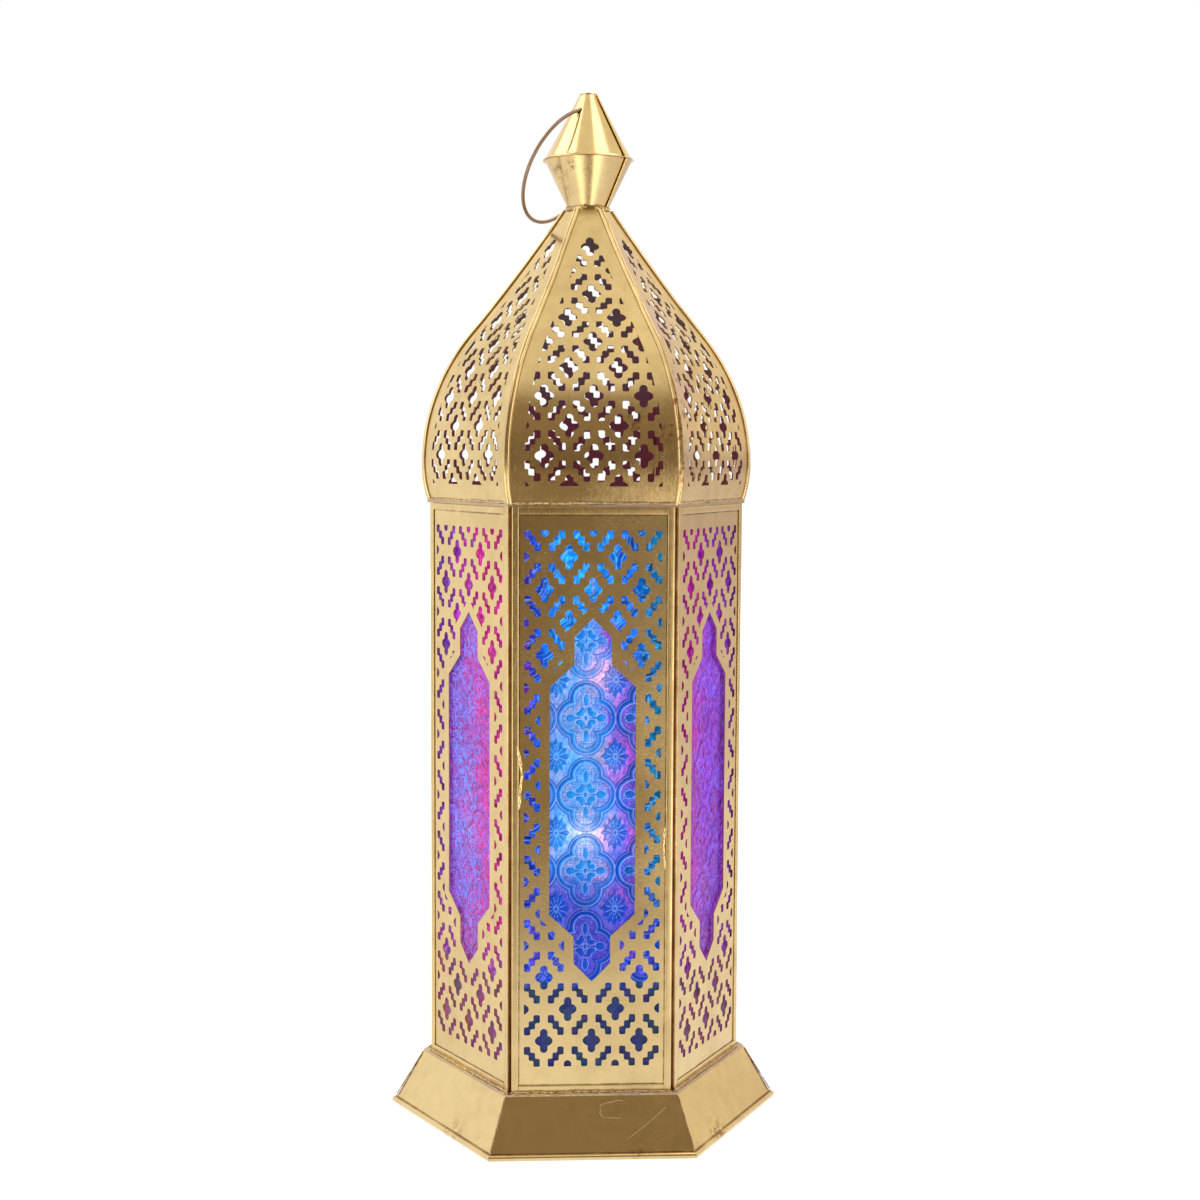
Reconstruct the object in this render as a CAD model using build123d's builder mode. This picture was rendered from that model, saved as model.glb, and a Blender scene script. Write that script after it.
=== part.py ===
"""A standing six-sided lantern of pierced brass sheet with embossed coloured glass, a pierced onion
dome, a double-cone finial and a hanging ring. Millimetres, +Z up, front panel towards -Y, the origin
in the middle of the base on the surface that the lantern stands on."""

import os
from math import acos, asin, degrees, radians, sin, sqrt, tan

from build123d import *

os.makedirs("parts", exist_ok=True)

# The six sides run counter-clockwise from the front; each corner follows the side of its number
SIDES = ("front", "front_right", "rear_right", "rear", "rear_left", "front_left")
CORNERS = ("front_right", "right", "rear_right", "rear_left", "left", "front_left")
DOOR = SIDES.index("rear")
TURN = 360 / len(SIDES)
HALF_TAN = tan(radians(TURN / 2))
HALF_SIN = sin(radians(TURN / 2))

# Sheet metal and joints
sheet = 0.6
seam = 0.05

# Base: a sloping skirt with a rolled hem, under a flat floor plate
skirt_height = 25.9
skirt_top_apothem = 70.15
skirt_foot_apothem = 82.5
hem_radius = 1.4
hem_flat = 0.15
floor_thickness = 0.9

# Body: six panels, each a channel frame with a pierced grille and a glass pane behind it
body_apothem = 67.4
panel_height = 275.2
corner_gap = 1.27
bar_width = 3.3
front_lip = 0.6
back_lip = 0.8
glass_thickness = 2.5
glass_play = 0.25
clip_width = 8.0
clip_spacing = 36.0
clip_overlap = 2.5
clip_foot = 2.4
clip_sheet = 0.5
strip_sheet = 0.6
strip_play = 0.4

# Pierced pattern of the body panels
panel_across = 11.2
panel_along = 15.17
panel_flower = (8.25, 11.5)
panel_steps = (7.5, 9.7)
panel_margin_side = 5.86
panel_margin_end = 10.6
pattern_rise = 0.85
flower_arm = 0.43
flower_cross = 0.47
step_share = 0.4
step_round = 0.8
least_hole = 0.5
window_tip = 85.6
window_neck_top = 76.8
window_neck_foot = 64.1
window_shoulder = 53.6
window_neck_half = 8.6
window_half = 20.0
window_border = 4.4

# Ring plate between the body and the dome
ring_plate_thickness = 1.3
ring_plate_apothem = 67.9
ring_plate_bore = 60.0

# Dome: six petals bent to one curve, with a raised seam between neighbours
dome_height = 140.5
dome_foot_apothem = 67.0
dome_belly_apothem = 69.5
dome_belly_rise = 17.5
shoulder_radius = 108.0
shoulder_sweep = 35.7
neck_apothem = 10.2
rib_width = 2.7
rib_base = 0.5
rib_rise = 1.0
rib_groove = 0.5

# Pierced pattern of the petals
petal_across = 11.4
petal_along = 14.0
petal_flower = (9.0, 11.0)
petal_steps = (8.0, 9.6)
petal_margin_side = 8.2
petal_margin_foot = 8.4

# Finial: a neck disc and two cones rim to rim, closed by a cap
neck_disc_radius = 10.9
neck_disc_thickness = 1.4
lower_cone_foot = 9.9
lower_cone_height = 23.0
cone_rim = 21.3
rim_flange = 1.2
upper_cone_height = 31.3
upper_cone_top = 4.2
cap_thickness = 0.5

# Hanging ring, held in two holes of the upper cone
ring_wire = 1.75
ring_radius = 29.7
ring_pivot_drop = 8.8
ring_hole_play = 0.6
ring_turn = 57.5
ring_tilt = 29.2

# Rear door: two pin hinges on one edge, a knob and a friction leaf on the other
door_gap = 0.4
door_stop_gap = 0.3
hinge_height = 24.0
hinge_inset = 36.0
hinge_leaf = 3.2
hinge_sheet = 0.8
hinge_stand = 1.8
knuckle_radius = 1.5
knuckle_gap = 0.2
pin_radius = 0.75
pin_play = 0.05
pin_head_radius = 1.3
pin_head = 0.8
knob_radius = 3.4
knob_stem_radius = 1.3
knob_stem = 3.0
catch_height = 14.0
catch_sheet = 0.5
catch_foot = 3.0
catch_depth = 1.4
catch_lip = 0.3

# Battery candle in a brass cup
cup_radius = 32.0
cup_height = 8.0
cup_sheet = 0.8
candle_radius = 27.5
candle_height = 95.0
candle_edge = 3.0
candle_dish_rim = 17.0
candle_dish_floor = 7.0
candle_dish = 4.0
flame_radius = 6.0
flame_height = 30.0
flame_belly = 11.0
flame_foot = 2.4

# Heights and widths that follow from the sizes above
floor_top = skirt_height + floor_thickness
body_top = floor_top + panel_height
dome_foot = body_top + ring_plate_thickness
dome_top = dome_foot + dome_height
cone_foot = dome_top + neck_disc_thickness
rim_level = cone_foot + lower_cone_height
cone_top = rim_level + upper_cone_height
total_height = cone_top + cap_thickness
ring_pivot = total_height - ring_pivot_drop
panel_half = body_apothem * HALF_TAN - corner_gap
slot_width = sheet + 2 * seam
frame_depth = front_lip + slot_width + back_lip
glass_face = front_lip + slot_width + seam
glass_half = panel_half - bar_width - glass_play
pattern_middle = floor_top + panel_height / 2 + pattern_rise

# Drawing planes of the front side: a section square to it, and the plane of its seam to the right
section = Plane((0, 0, 0), x_dir=(0, -1, 0), z_dir=(-1, 0, 0))
corner_line = Vector(HALF_SIN, -sqrt(1 - HALF_SIN**2))
corner_side = Vector(sqrt(1 - HALF_SIN**2), HALF_SIN)
corner_x, corner_z = (corner_line.X, corner_line.Y, 0), (corner_side.X, corner_side.Y, 0)
seam_plane = Plane((0, 0, 0), x_dir=corner_x, z_dir=corner_z)


def save(piece, node):
    """Label a finished piece and write it as its own file."""
    piece.label = node
    export_step(piece, f"parts/{node}.step", write_pcurves=False)


def save_round(piece, stem, names):
    """Write a front piece and its five turned copies."""
    for number, name in enumerate(names):
        save(piece.rotate(Axis.Z, TURN * number), f"{stem}_{name}")


def sixth(reach):
    """Plan of one side: a triangle from the axis to its two seams, short of them by half a seam."""
    tip = seam / 2 / HALF_SIN
    with BuildSketch() as plan:
        with BuildLine():
            edge = reach * HALF_TAN
            Polyline((0, -tip), (edge, -tip - reach), (-edge, -tip - reach), close=True)
        make_face()
    return plan.sketch


def lattice(across, along, first, rows, columns, flower_size, step_size):
    """Holes of the pierced pattern: four-lobed flowers on a staggered grid, and between each flower
    and its diagonal neighbours a slot of three overlapping squares with rounded corners, set across the
    line that joins them."""
    flower_width, flower_length = flower_size
    with BuildSketch() as flower:
        arm = flower_arm * flower_width
        cross = flower_cross * flower_length
        SlotOverall(flower_length, arm, rotation=90)
        Ellipse(flower_width / 2, cross / 2)
    square = (step_share * step_size[0], step_share * step_size[1])
    shift = ((step_size[0] - square[0]) / 2, (step_size[1] - square[1]) / 2)
    with BuildSketch() as rising:
        with Locations((-shift[0], -shift[1]), (0, 0), shift):
            Rectangle(*square)
        fillet(rising.vertices(), step_round)
    spots = [
        (across * column, first + along * row)
        for row in range(rows)
        for column in range(-columns, columns + 1)
        if (column + row) % 2
    ]
    with BuildSketch() as field:
        with Locations(*spots):
            add(flower.sketch)
        with Locations(*[(t - across / 2, s + along / 2) for t, s in spots]):
            add(rising.sketch)
        with Locations(*[(t + across / 2, s + along / 2) for t, s in spots]):
            add(mirror(rising.sketch, about=Plane.YZ, mode=Mode.PRIVATE))
    return field.sketch


def panel_holes():
    """The flat pattern of a body panel: the lattice inside its field, and the tall window with its border."""
    field_half = (panel_half - panel_margin_side, panel_height / 2 - panel_margin_end - abs(pattern_rise))
    rows = 2 * int(field_half[1] / panel_along + 1.5)
    columns = int(field_half[0] / panel_across) + 1
    first = -panel_along * (rows - 1) / 2
    with BuildSketch() as window:
        with BuildLine():
            Polyline(
                (0, window_tip),
                (window_neck_half, window_neck_top),
                (window_neck_half, window_neck_foot),
                (window_half, window_shoulder),
                (window_half, 0),
            )
            mirror(about=Plane.YZ)
            mirror(about=Plane.XZ)
        make_face()
    with BuildSketch() as pattern:
        add(lattice(panel_across, panel_along, first, rows, columns, panel_flower, panel_steps))
        Rectangle(2 * field_half[0], 2 * field_half[1], mode=Mode.INTERSECT)
        border = offset(window.sketch, window_border, kind=Kind.INTERSECTION, mode=Mode.PRIVATE)
        add(border, mode=Mode.SUBTRACT)
        add(window.sketch)
    return [hole for hole in pattern.sketch.faces() if hole.area > least_hole]


def dome_line(rise):
    """The petals' curve on the section plane, moved outwards by rise: a short arc out to the belly, the
    shoulder's arc, and a hollow arc up to the neck. Called inside a line block."""
    belly = dome_foot + dome_belly_rise
    flare = dome_belly_apothem - dome_foot_apothem
    foot_radius = (flare**2 + dome_belly_rise**2) / (2 * flare)
    foot_angle = degrees(asin(dome_belly_rise / foot_radius))
    foot_centre = (dome_belly_apothem - foot_radius, belly)
    shoulder_centre = (dome_belly_apothem - shoulder_radius, belly)
    true_shoulder = CenterArc(shoulder_centre, shoulder_radius, 0, shoulder_sweep, mode=Mode.PRIVATE)
    true_neck = TangentArc(
        true_shoulder @ 1, (neck_apothem, dome_top), tangent=true_shoulder % 1, mode=Mode.PRIVATE
    )
    slope = true_neck % 1
    lower = CenterArc(foot_centre, foot_radius + rise, -foot_angle, foot_angle)
    shoulder = CenterArc(shoulder_centre, shoulder_radius + rise, 0, shoulder_sweep)
    neck = (neck_apothem + rise * slope.Y, dome_top - rise * slope.X)
    upper = TangentArc(shoulder @ 1, neck, tangent=shoulder % 1)
    return lower @ 0, upper @ 1


def dome_band(inner, outer):
    """Section of a bent sheet between two distances from the petals' outer face."""
    with BuildSketch() as band:
        with BuildLine():
            inner_ends = dome_line(inner)
            outer_ends = dome_line(outer)
            Line(inner_ends[0], outer_ends[0])
            Line(inner_ends[1], outer_ends[1])
        make_face()
    return band.sketch


# Skirt: six sloping sheets with a rolled hem, worn flat where they stand
with BuildPart() as skirt:
    with BuildSketch(section):
        hem = (skirt_foot_apothem, hem_radius - hem_flat)
        with BuildLine():
            fall = Line((skirt_top_apothem, skirt_height), hem)
            back = -sheet / abs((fall % 0).Y)
            Polyline(fall @ 0, (fall @ 0) + (back, 0), (fall @ 1) + (back, 0), fall @ 1)
        make_face()
        with Locations(hem):
            Circle(hem_radius)
            with Locations((0, -hem[1] - hem_radius)):
                Rectangle(4 * hem_radius, 2 * hem_radius, mode=Mode.SUBTRACT)
    extrude(amount=skirt_foot_apothem, both=True)
    with BuildSketch():
        add(sixth(2 * skirt_foot_apothem))
    extrude(amount=skirt_height, mode=Mode.INTERSECT)
save_round(skirt.part, "skirt", SIDES)

with BuildPart() as floor_plate:
    with BuildSketch(Plane.XY.offset(skirt_height)):
        RegularPolygon(skirt_top_apothem, len(SIDES), major_radius=False)
    extrude(amount=floor_thickness)
floor_plate.part.label = "floor_plate"
export_step(floor_plate.part, "parts/floor_plate.step")


def channel_frame(low, high, depth):
    """Four channel bars: two full-height stiles and two rails butted between them."""
    rail_half = panel_half - bar_width - seam
    slot_depth = bar_width - front_lip
    with BuildPart() as frame:
        with BuildSketch(Plane.XY.offset(low)):
            with Locations((panel_half - bar_width / 2, depth / 2 - body_apothem)):
                Rectangle(bar_width, depth)
            slot_middle = panel_half - bar_width + slot_depth / 2
            with Locations((slot_middle, front_lip + slot_width / 2 - body_apothem)):
                Rectangle(slot_depth, slot_width, mode=Mode.SUBTRACT)
            mirror(about=Plane.YZ)
        extrude(amount=high - low)
        with BuildSketch(section):
            for edge, inwards in ((low, 1), (high, -1)):
                with Locations((body_apothem - depth / 2, edge + inwards * bar_width / 2)):
                    Rectangle(depth, bar_width)
                slot_middle = edge + inwards * (front_lip + slot_depth / 2)
                with Locations((body_apothem - front_lip - slot_width / 2, slot_middle)):
                    Rectangle(slot_width, slot_depth, mode=Mode.SUBTRACT)
        extrude(amount=rail_half, both=True)
    return frame.part


def grille_sheet(low, high, holes):
    """The pierced sheet that slides into the frame's channels."""
    edge = front_lip + seam
    with BuildPart() as grille:
        with BuildSketch(Plane.XZ.offset(body_apothem - front_lip - seam)):
            with Locations((0, (low + high) / 2)):
                Rectangle(2 * (panel_half - edge), high - low - 2 * edge)
            with Locations((0, pattern_middle)):
                add(holes, mode=Mode.SUBTRACT)
        extrude(amount=-sheet)
    return grille.part


def glass_pane(low, high):
    """The pane behind the grille, inside the back lips of the frame."""
    with BuildPart() as pane:
        with BuildSketch(Plane.XZ.offset(body_apothem - glass_face)):
            with Locations((0, (low + high) / 2)):
                Rectangle(2 * glass_half, high - low - 2 * (bar_width + seam))
        extrude(amount=-glass_thickness)
    return pane.part


def glass_clips(low, high, depth):
    """Four cranked tabs on the rails' backs that hold the pane."""
    back = glass_face + glass_thickness + seam
    with BuildPart() as clips:
        with BuildSketch(section):
            inner = high - bar_width
            with Locations((body_apothem - depth - seam - clip_sheet / 2, inner + clip_foot / 2)):
                Rectangle(clip_sheet, clip_foot)
            riser = back + clip_sheet - depth - seam
            with Locations((body_apothem - depth - seam - riser / 2, inner + clip_sheet / 2)):
                Rectangle(riser, clip_sheet)
            with Locations((body_apothem - back - clip_sheet / 2, inner - clip_overlap / 2)):
                Rectangle(clip_sheet, clip_overlap)
        extrude(amount=clip_width / 2, both=True)
        clip = clips.part
        with Locations((clip_spacing / 2, 0, 0), (-clip_spacing / 2, 0, 0)):
            add(clip, mode=Mode.REPLACE)
        mirror(about=Plane.XY.offset((low + high) / 2))
    return clips.part


# Side panels; the rear one is the door, a little shorter and with a thinner back
holes = panel_holes()
door_low, door_high = floor_top + door_gap, body_top - door_gap
door_depth = frame_depth - door_stop_gap
side_frame = channel_frame(floor_top, body_top, frame_depth)
side_grille = grille_sheet(floor_top, body_top, holes)
side_glass = glass_pane(floor_top, body_top)
side_clips = glass_clips(floor_top, body_top, frame_depth)
clip_group = []
for number, name in enumerate(SIDES):
    if number == DOOR:
        continue
    angle = TURN * number
    save(side_frame.rotate(Axis.Z, angle), f"frame_{name}")
    save(side_grille.rotate(Axis.Z, angle), f"grille_{name}")
    save(side_glass.rotate(Axis.Z, angle), f"glass_{name}")
    clip_group += side_clips.rotate(Axis.Z, angle).solids()
save(Compound(clip_group), "glass_clips")

door_turn = TURN * DOOR
save(channel_frame(door_low, door_high, door_depth).rotate(Axis.Z, door_turn), "door_frame")
save(grille_sheet(door_low, door_high, holes).rotate(Axis.Z, door_turn), "door_grille")
save(glass_pane(door_low, door_high).rotate(Axis.Z, door_turn), "door_glass")
save(glass_clips(door_low, door_high, door_depth).rotate(Axis.Z, door_turn), "door_glass_clips")

# Corner strips: folded sheet behind each corner, soldered to the frames on both sides
with BuildPart() as corner_strip:
    outer = body_apothem - frame_depth - seam
    inner = outer - strip_sheet
    leg_end = glass_half + strip_play
    with BuildSketch(Plane.XY.offset(floor_top)):
        with BuildLine():
            Polyline(
                (leg_end, -outer),
                (outer * HALF_TAN, -outer),
                (inner * HALF_TAN, -inner),
                (leg_end, -inner),
                close=True,
            )
        make_face()
        mirror(about=seam_plane)
    extrude(amount=panel_height)
save_round(corner_strip.part, "corner_strip", CORNERS)

with BuildPart() as ring_plate:
    with BuildSketch(Plane.XY.offset(body_top)):
        RegularPolygon(ring_plate_apothem, len(SIDES), major_radius=False)
        RegularPolygon(ring_plate_bore, len(SIDES), major_radius=False, mode=Mode.SUBTRACT)
    extrude(amount=ring_plate_thickness)
ring_plate.part.label = "ring_plate"
export_step(ring_plate.part, "parts/ring_plate.step")

# The petals' curve as one line, so that the pattern can be laid along it
with BuildLine() as petal_curve:
    dome_line(0)
petal_wire = petal_curve.wires()[0]


def petal_spot(distance):
    """Apothem and height on the petals' curve, at a distance along it from the foot."""
    return petal_wire.position_at(distance, position_mode=PositionMode.LENGTH)


def petal_plane(distance):
    """Plane touching the front petal on its middle line, its y axis pointing up the petal."""
    spot = petal_spot(distance)
    slope = petal_wire.tangent_at(distance, position_mode=PositionMode.LENGTH)
    return Plane((0, -spot.X, spot.Y), x_dir=(1, 0, 0), z_dir=(0, -slope.Y, -slope.X))


def petal_holes():
    """The pattern of one petal laid flat, inside a border along its seams and its foot."""
    length = petal_wire.length
    steps = int(length / petal_along)
    stations = [petal_margin_foot + (length - petal_margin_foot) * step / steps for step in range(steps + 1)]
    right = [(petal_spot(s).X * HALF_TAN - petal_margin_side, s) for s in stations]
    right = [(half, s) for half, s in right if half > 0]
    left = [(-half, s) for half, s in reversed(right)]
    columns = int(dome_belly_apothem * HALF_TAN / petal_across)
    with BuildSketch() as pattern:
        add(lattice(petal_across, petal_along, petal_margin_foot, steps, columns, petal_flower, petal_steps))
        with BuildLine():
            Polyline(*right, *left, close=True)
        make_face(mode=Mode.INTERSECT)
    return [hole for hole in pattern.sketch.faces() if hole.area > least_hole]


# Petals: one sheet bent to the curve, trimmed at its seams and pierced square to its face
with BuildPart() as petal:
    with BuildSketch(section):
        add(dome_band(-sheet, 0))
    extrude(amount=dome_belly_apothem, both=True)
    with BuildSketch(Plane.XY.offset(dome_foot)):
        add(sixth(2 * dome_belly_apothem))
    extrude(amount=dome_height, mode=Mode.INTERSECT)
    for hole in petal_holes():
        middle = hole.center()
        with BuildSketch(petal_plane(middle.Y)):
            add(hole.moved(Location((0, -middle.Y, 0))))
    extrude(amount=3 * sheet, both=True, mode=Mode.SUBTRACT)
save_round(petal.part, "petal", SIDES)


def rib_strip(start, end, inner, outer):
    """Bent strip beside the front petal's right seam, between two distances from the seam plane."""
    reach = 2 * dome_belly_apothem
    with BuildPart() as strip:
        with BuildSketch(section):
            add(dome_band(inner, outer))
        extrude(amount=dome_belly_apothem, both=True)
        with BuildSketch(Plane.XY.offset(dome_foot)):
            with BuildLine():
                near, far = corner_side * -start, corner_side * -end
                Polyline(near, near + corner_line * reach, far + corner_line * reach, far, close=True)
            make_face()
        extrude(amount=dome_height, mode=Mode.INTERSECT)
    return strip.part


# Ribs: the raised seams between petals, a flat base with a ridge on each side of a groove
with BuildPart() as rib:
    add(rib_strip(0, rib_width / 2, seam, rib_base))
    add(rib_strip(rib_groove / 2, rib_width / 2, seam, rib_rise))
    mirror(about=seam_plane)
save_round(rib.part, "rib", CORNERS)

# Finial
with BuildPart() as neck_disc:
    with BuildSketch(Plane.XY.offset(dome_top)):
        Circle(neck_disc_radius)
    extrude(amount=neck_disc_thickness)
neck_disc.part.label = "neck_disc"
export_step(neck_disc.part, "parts/neck_disc.step")

with BuildPart() as lower_cone:
    with BuildSketch(section):
        with BuildLine():
            Polyline(
                (lower_cone_foot, cone_foot),
                (cone_rim, rim_level - sheet),
                (cone_rim + rim_flange, rim_level - sheet),
                (cone_rim + rim_flange, rim_level),
                (cone_rim - sheet, rim_level),
                (lower_cone_foot - sheet, cone_foot),
                close=True,
            )
        make_face()
    revolve(axis=Axis.Z)
lower_cone.part.label = "finial_lower_cone"
export_step(lower_cone.part, "parts/finial_lower_cone.step")

chord = Vector(1, 0, 0).rotate(Axis.Z, ring_turn)
with BuildPart() as upper_cone:
    with BuildSketch(section):
        with BuildLine():
            Polyline(
                (cone_rim + rim_flange, rim_level),
                (cone_rim + rim_flange, rim_level + sheet),
                (cone_rim, rim_level + sheet),
                (upper_cone_top, cone_top),
                (upper_cone_top - sheet, cone_top),
                (cone_rim - sheet, rim_level),
                close=True,
            )
        make_face()
    revolve(axis=Axis.Z)
    with BuildSketch(Plane((0, 0, ring_pivot), z_dir=(chord.X, chord.Y, 0))):
        Circle(ring_wire / 2 + ring_hole_play)
    extrude(amount=cone_rim, both=True, mode=Mode.SUBTRACT)
upper_cone.part.label = "finial_upper_cone"
export_step(upper_cone.part, "parts/finial_upper_cone.step")

with BuildPart() as cap:
    with BuildSketch(Plane.XY.offset(cone_top)):
        Circle(upper_cone_top)
    extrude(amount=cap_thickness)
cap.part.label = "finial_cap"
export_step(cap.part, "parts/finial_cap.step")

# Hanging ring: wire bent to a circle through the two holes, hanging back to the left
cone_slope = (cone_rim - upper_cone_top) / (upper_cone_height - sheet)
ring_chord_half = upper_cone_top + (cone_top - ring_pivot) * cone_slope - sheet / 2
hang = Vector(0, 0, -1).rotate(Axis((0, 0, 0), (chord.X, chord.Y, 0)), ring_tilt)
ring_centre = Vector(0, 0, ring_pivot) + hang * sqrt(ring_radius**2 - ring_chord_half**2)
with BuildPart() as hanging_ring:
    with BuildSketch(Plane(ring_centre + hang * ring_radius, x_dir=hang, z_dir=chord)):
        Circle(ring_wire / 2)
    revolve(axis=Axis(ring_centre, chord.cross(hang)))
hanging_ring.part.label = "hanging_ring"
export_step(hanging_ring.part, "parts/hanging_ring.step")

# Door fittings, drawn at the front side's right corner and turned to the door
body_corner = body_apothem * sqrt(1 + HALF_TAN**2)
hinge_axis = corner_line * (body_corner + hinge_stand)
hinge_levels = (door_low + hinge_inset, door_high - hinge_inset)
third = hinge_height / 3


def hinge_leaves(spans, bore):
    """A leaf on the front side's right stile at each hinge, with knuckles over the given height spans."""
    with BuildPart() as leaves:
        for level in hinge_levels:
            with BuildSketch(Plane.XY.offset(level - hinge_height / 2)):
                with Locations((panel_half - hinge_leaf / 2, -body_apothem - seam - hinge_sheet / 2)):
                    Rectangle(hinge_leaf, hinge_sheet)
            extrude(amount=hinge_height)
            for start, end in spans:
                web = hinge_axis.X - panel_half
                with BuildSketch(Plane.XY.offset(level - hinge_height / 2 + start)):
                    with Locations((panel_half + web / 2, -body_apothem - seam - hinge_sheet / 2)):
                        Rectangle(web, hinge_sheet)
                    with Locations((hinge_axis.X, hinge_axis.Y)):
                        Circle(knuckle_radius)
                        Circle(bore, mode=Mode.SUBTRACT)
                extrude(amount=end - start)
    return leaves.part


door_leaves = hinge_leaves([(third + knuckle_gap, 2 * third - knuckle_gap)], pin_radius + pin_play)
save(door_leaves.rotate(Axis.Z, door_turn), "hinge_door_leaves")
frame_leaves = hinge_leaves([(0, third), (2 * third, hinge_height)], pin_radius + seam / 2)
save(mirror(frame_leaves, about=seam_plane).rotate(Axis.Z, door_turn), "hinge_frame_leaves")

with BuildPart() as hinge_pins:
    for level in hinge_levels:
        with BuildSketch(Plane.XY.offset(level - hinge_height / 2)):
            with Locations((hinge_axis.X, hinge_axis.Y)):
                Circle(pin_radius)
        extrude(amount=hinge_height)
        with BuildSketch(Plane.XY.offset(level + hinge_height / 2)):
            with Locations((hinge_axis.X, hinge_axis.Y)):
                Circle(pin_head_radius)
        extrude(amount=pin_head)
save(hinge_pins.part.rotate(Axis.Z, door_turn), "hinge_pins")

door_middle = (door_low + door_high) / 2
with BuildPart() as door_knob:
    with Locations(Plane((bar_width / 2 - panel_half, -body_apothem - seam, door_middle), z_dir=(0, -1, 0))):
        Cylinder(knob_stem_radius, knob_stem, align=(Align.CENTER, Align.CENTER, Align.MIN))
        with Locations((0, 0, knob_stem + knob_radius / 2)):
            Sphere(knob_radius)
save(door_knob.part.rotate(Axis.Z, door_turn), "door_knob")

# Friction leaf: a foot on the stile beside the door's free edge, folded into the corner's groove
with BuildPart() as catch_leaf:
    with BuildSketch(Plane.XY.offset(door_middle - catch_height / 2)):
        foot_end = body_apothem * HALF_TAN
        foot_start = panel_half - catch_foot
        with Locations(((foot_start + foot_end) / 2, -body_apothem - seam - catch_sheet / 2)):
            Rectangle(foot_end - foot_start, catch_sheet)
        blade = corner_line * (body_corner + (catch_lip - catch_depth) / 2)
        with Locations((blade.X, blade.Y)):
            Rectangle(catch_sheet, catch_depth + catch_lip, rotation=TURN / 2)
    extrude(amount=catch_height)
save(catch_leaf.part.rotate(Axis.Z, door_turn - TURN), "catch_leaf")

# Candle and its cup
with BuildPart() as candle_cup:
    with BuildSketch(section):
        with BuildLine():
            Polyline(
                (0, floor_top),
                (cup_radius, floor_top),
                (cup_radius, floor_top + cup_height),
                (cup_radius - cup_sheet, floor_top + cup_height),
                (cup_radius - cup_sheet, floor_top + cup_sheet),
                (0, floor_top + cup_sheet),
                close=True,
            )
        make_face()
    revolve(axis=Axis.Z)
candle_cup.part.label = "candle_cup"
export_step(candle_cup.part, "parts/candle_cup.step")

candle_foot = floor_top + cup_sheet
candle_top = candle_foot + candle_height
flame_seat = candle_top - candle_dish
with BuildPart() as candle_body:
    with BuildSketch(section):
        with BuildLine():
            rim_start = (candle_radius, candle_top - candle_edge)
            Polyline((0, flame_seat), (0, candle_foot), (candle_radius, candle_foot), rim_start)
            edge = TangentArc(rim_start, (candle_radius - candle_edge, candle_top), tangent=(0, 1))
            dish_rim, dish_floor = (candle_dish_rim, candle_top), (candle_dish_floor, flame_seat)
            Polyline(edge @ 1, dish_rim, dish_floor, (0, flame_seat))
        make_face()
    revolve(axis=Axis.Z)
candle_body.part.label = "candle_body"
export_step(candle_body.part, "parts/candle_body.step")

# The flame: a ball on a short stem, drawn out to a point
with BuildPart() as candle_flame:
    with BuildSketch(section):
        with BuildLine():
            ball = flame_seat + flame_belly
            tip = flame_seat + flame_height
            low_angle = degrees(acos(flame_foot / flame_radius))
            high_angle = degrees(asin(flame_radius / (tip - ball)))
            side = CenterArc((0, ball), flame_radius, -low_angle, low_angle + high_angle)
            Polyline(side @ 1, (0, tip), (0, flame_seat), (flame_foot, flame_seat), side @ 0)
        make_face()
    revolve(axis=Axis.Z)
candle_flame.part.label = "candle_flame"
export_step(candle_flame.part, "parts/candle_flame.step")
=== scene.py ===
"""Hexagonal brass fanous lantern: finishes, embossed glass, solder and stage around the fixed frame."""

import math
from functools import reduce

import bmesh
import bpy
import numpy as np
from bpy.props import FloatProperty, FloatVectorProperty, PointerProperty
from bpy.types import Operator, Panel, PropertyGroup
from mathutils import Matrix, Vector


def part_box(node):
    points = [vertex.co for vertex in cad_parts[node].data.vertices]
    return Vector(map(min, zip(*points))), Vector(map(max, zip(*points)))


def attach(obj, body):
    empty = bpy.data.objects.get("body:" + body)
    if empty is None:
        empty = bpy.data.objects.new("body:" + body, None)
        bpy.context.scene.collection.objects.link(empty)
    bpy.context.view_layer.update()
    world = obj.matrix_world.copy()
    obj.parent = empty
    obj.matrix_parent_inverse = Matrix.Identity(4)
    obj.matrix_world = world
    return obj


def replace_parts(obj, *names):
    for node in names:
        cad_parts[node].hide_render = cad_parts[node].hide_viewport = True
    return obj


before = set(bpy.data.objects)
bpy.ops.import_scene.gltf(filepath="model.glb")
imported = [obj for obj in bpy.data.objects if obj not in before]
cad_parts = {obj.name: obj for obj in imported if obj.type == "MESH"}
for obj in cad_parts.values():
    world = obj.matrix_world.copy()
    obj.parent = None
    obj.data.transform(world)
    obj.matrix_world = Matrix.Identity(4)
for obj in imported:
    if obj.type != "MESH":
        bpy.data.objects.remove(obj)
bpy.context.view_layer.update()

bl_info = {
    "name": "Fanous lantern",
    "version": (1, 0, 0),
    "blender": (4, 5, 0),
    "location": "View3D > Sidebar > Lantern",
    "description": "Brass finishes, embossed glass, solder and stage of a hexagonal fanous lantern",
    "category": "Object",
}

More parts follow.
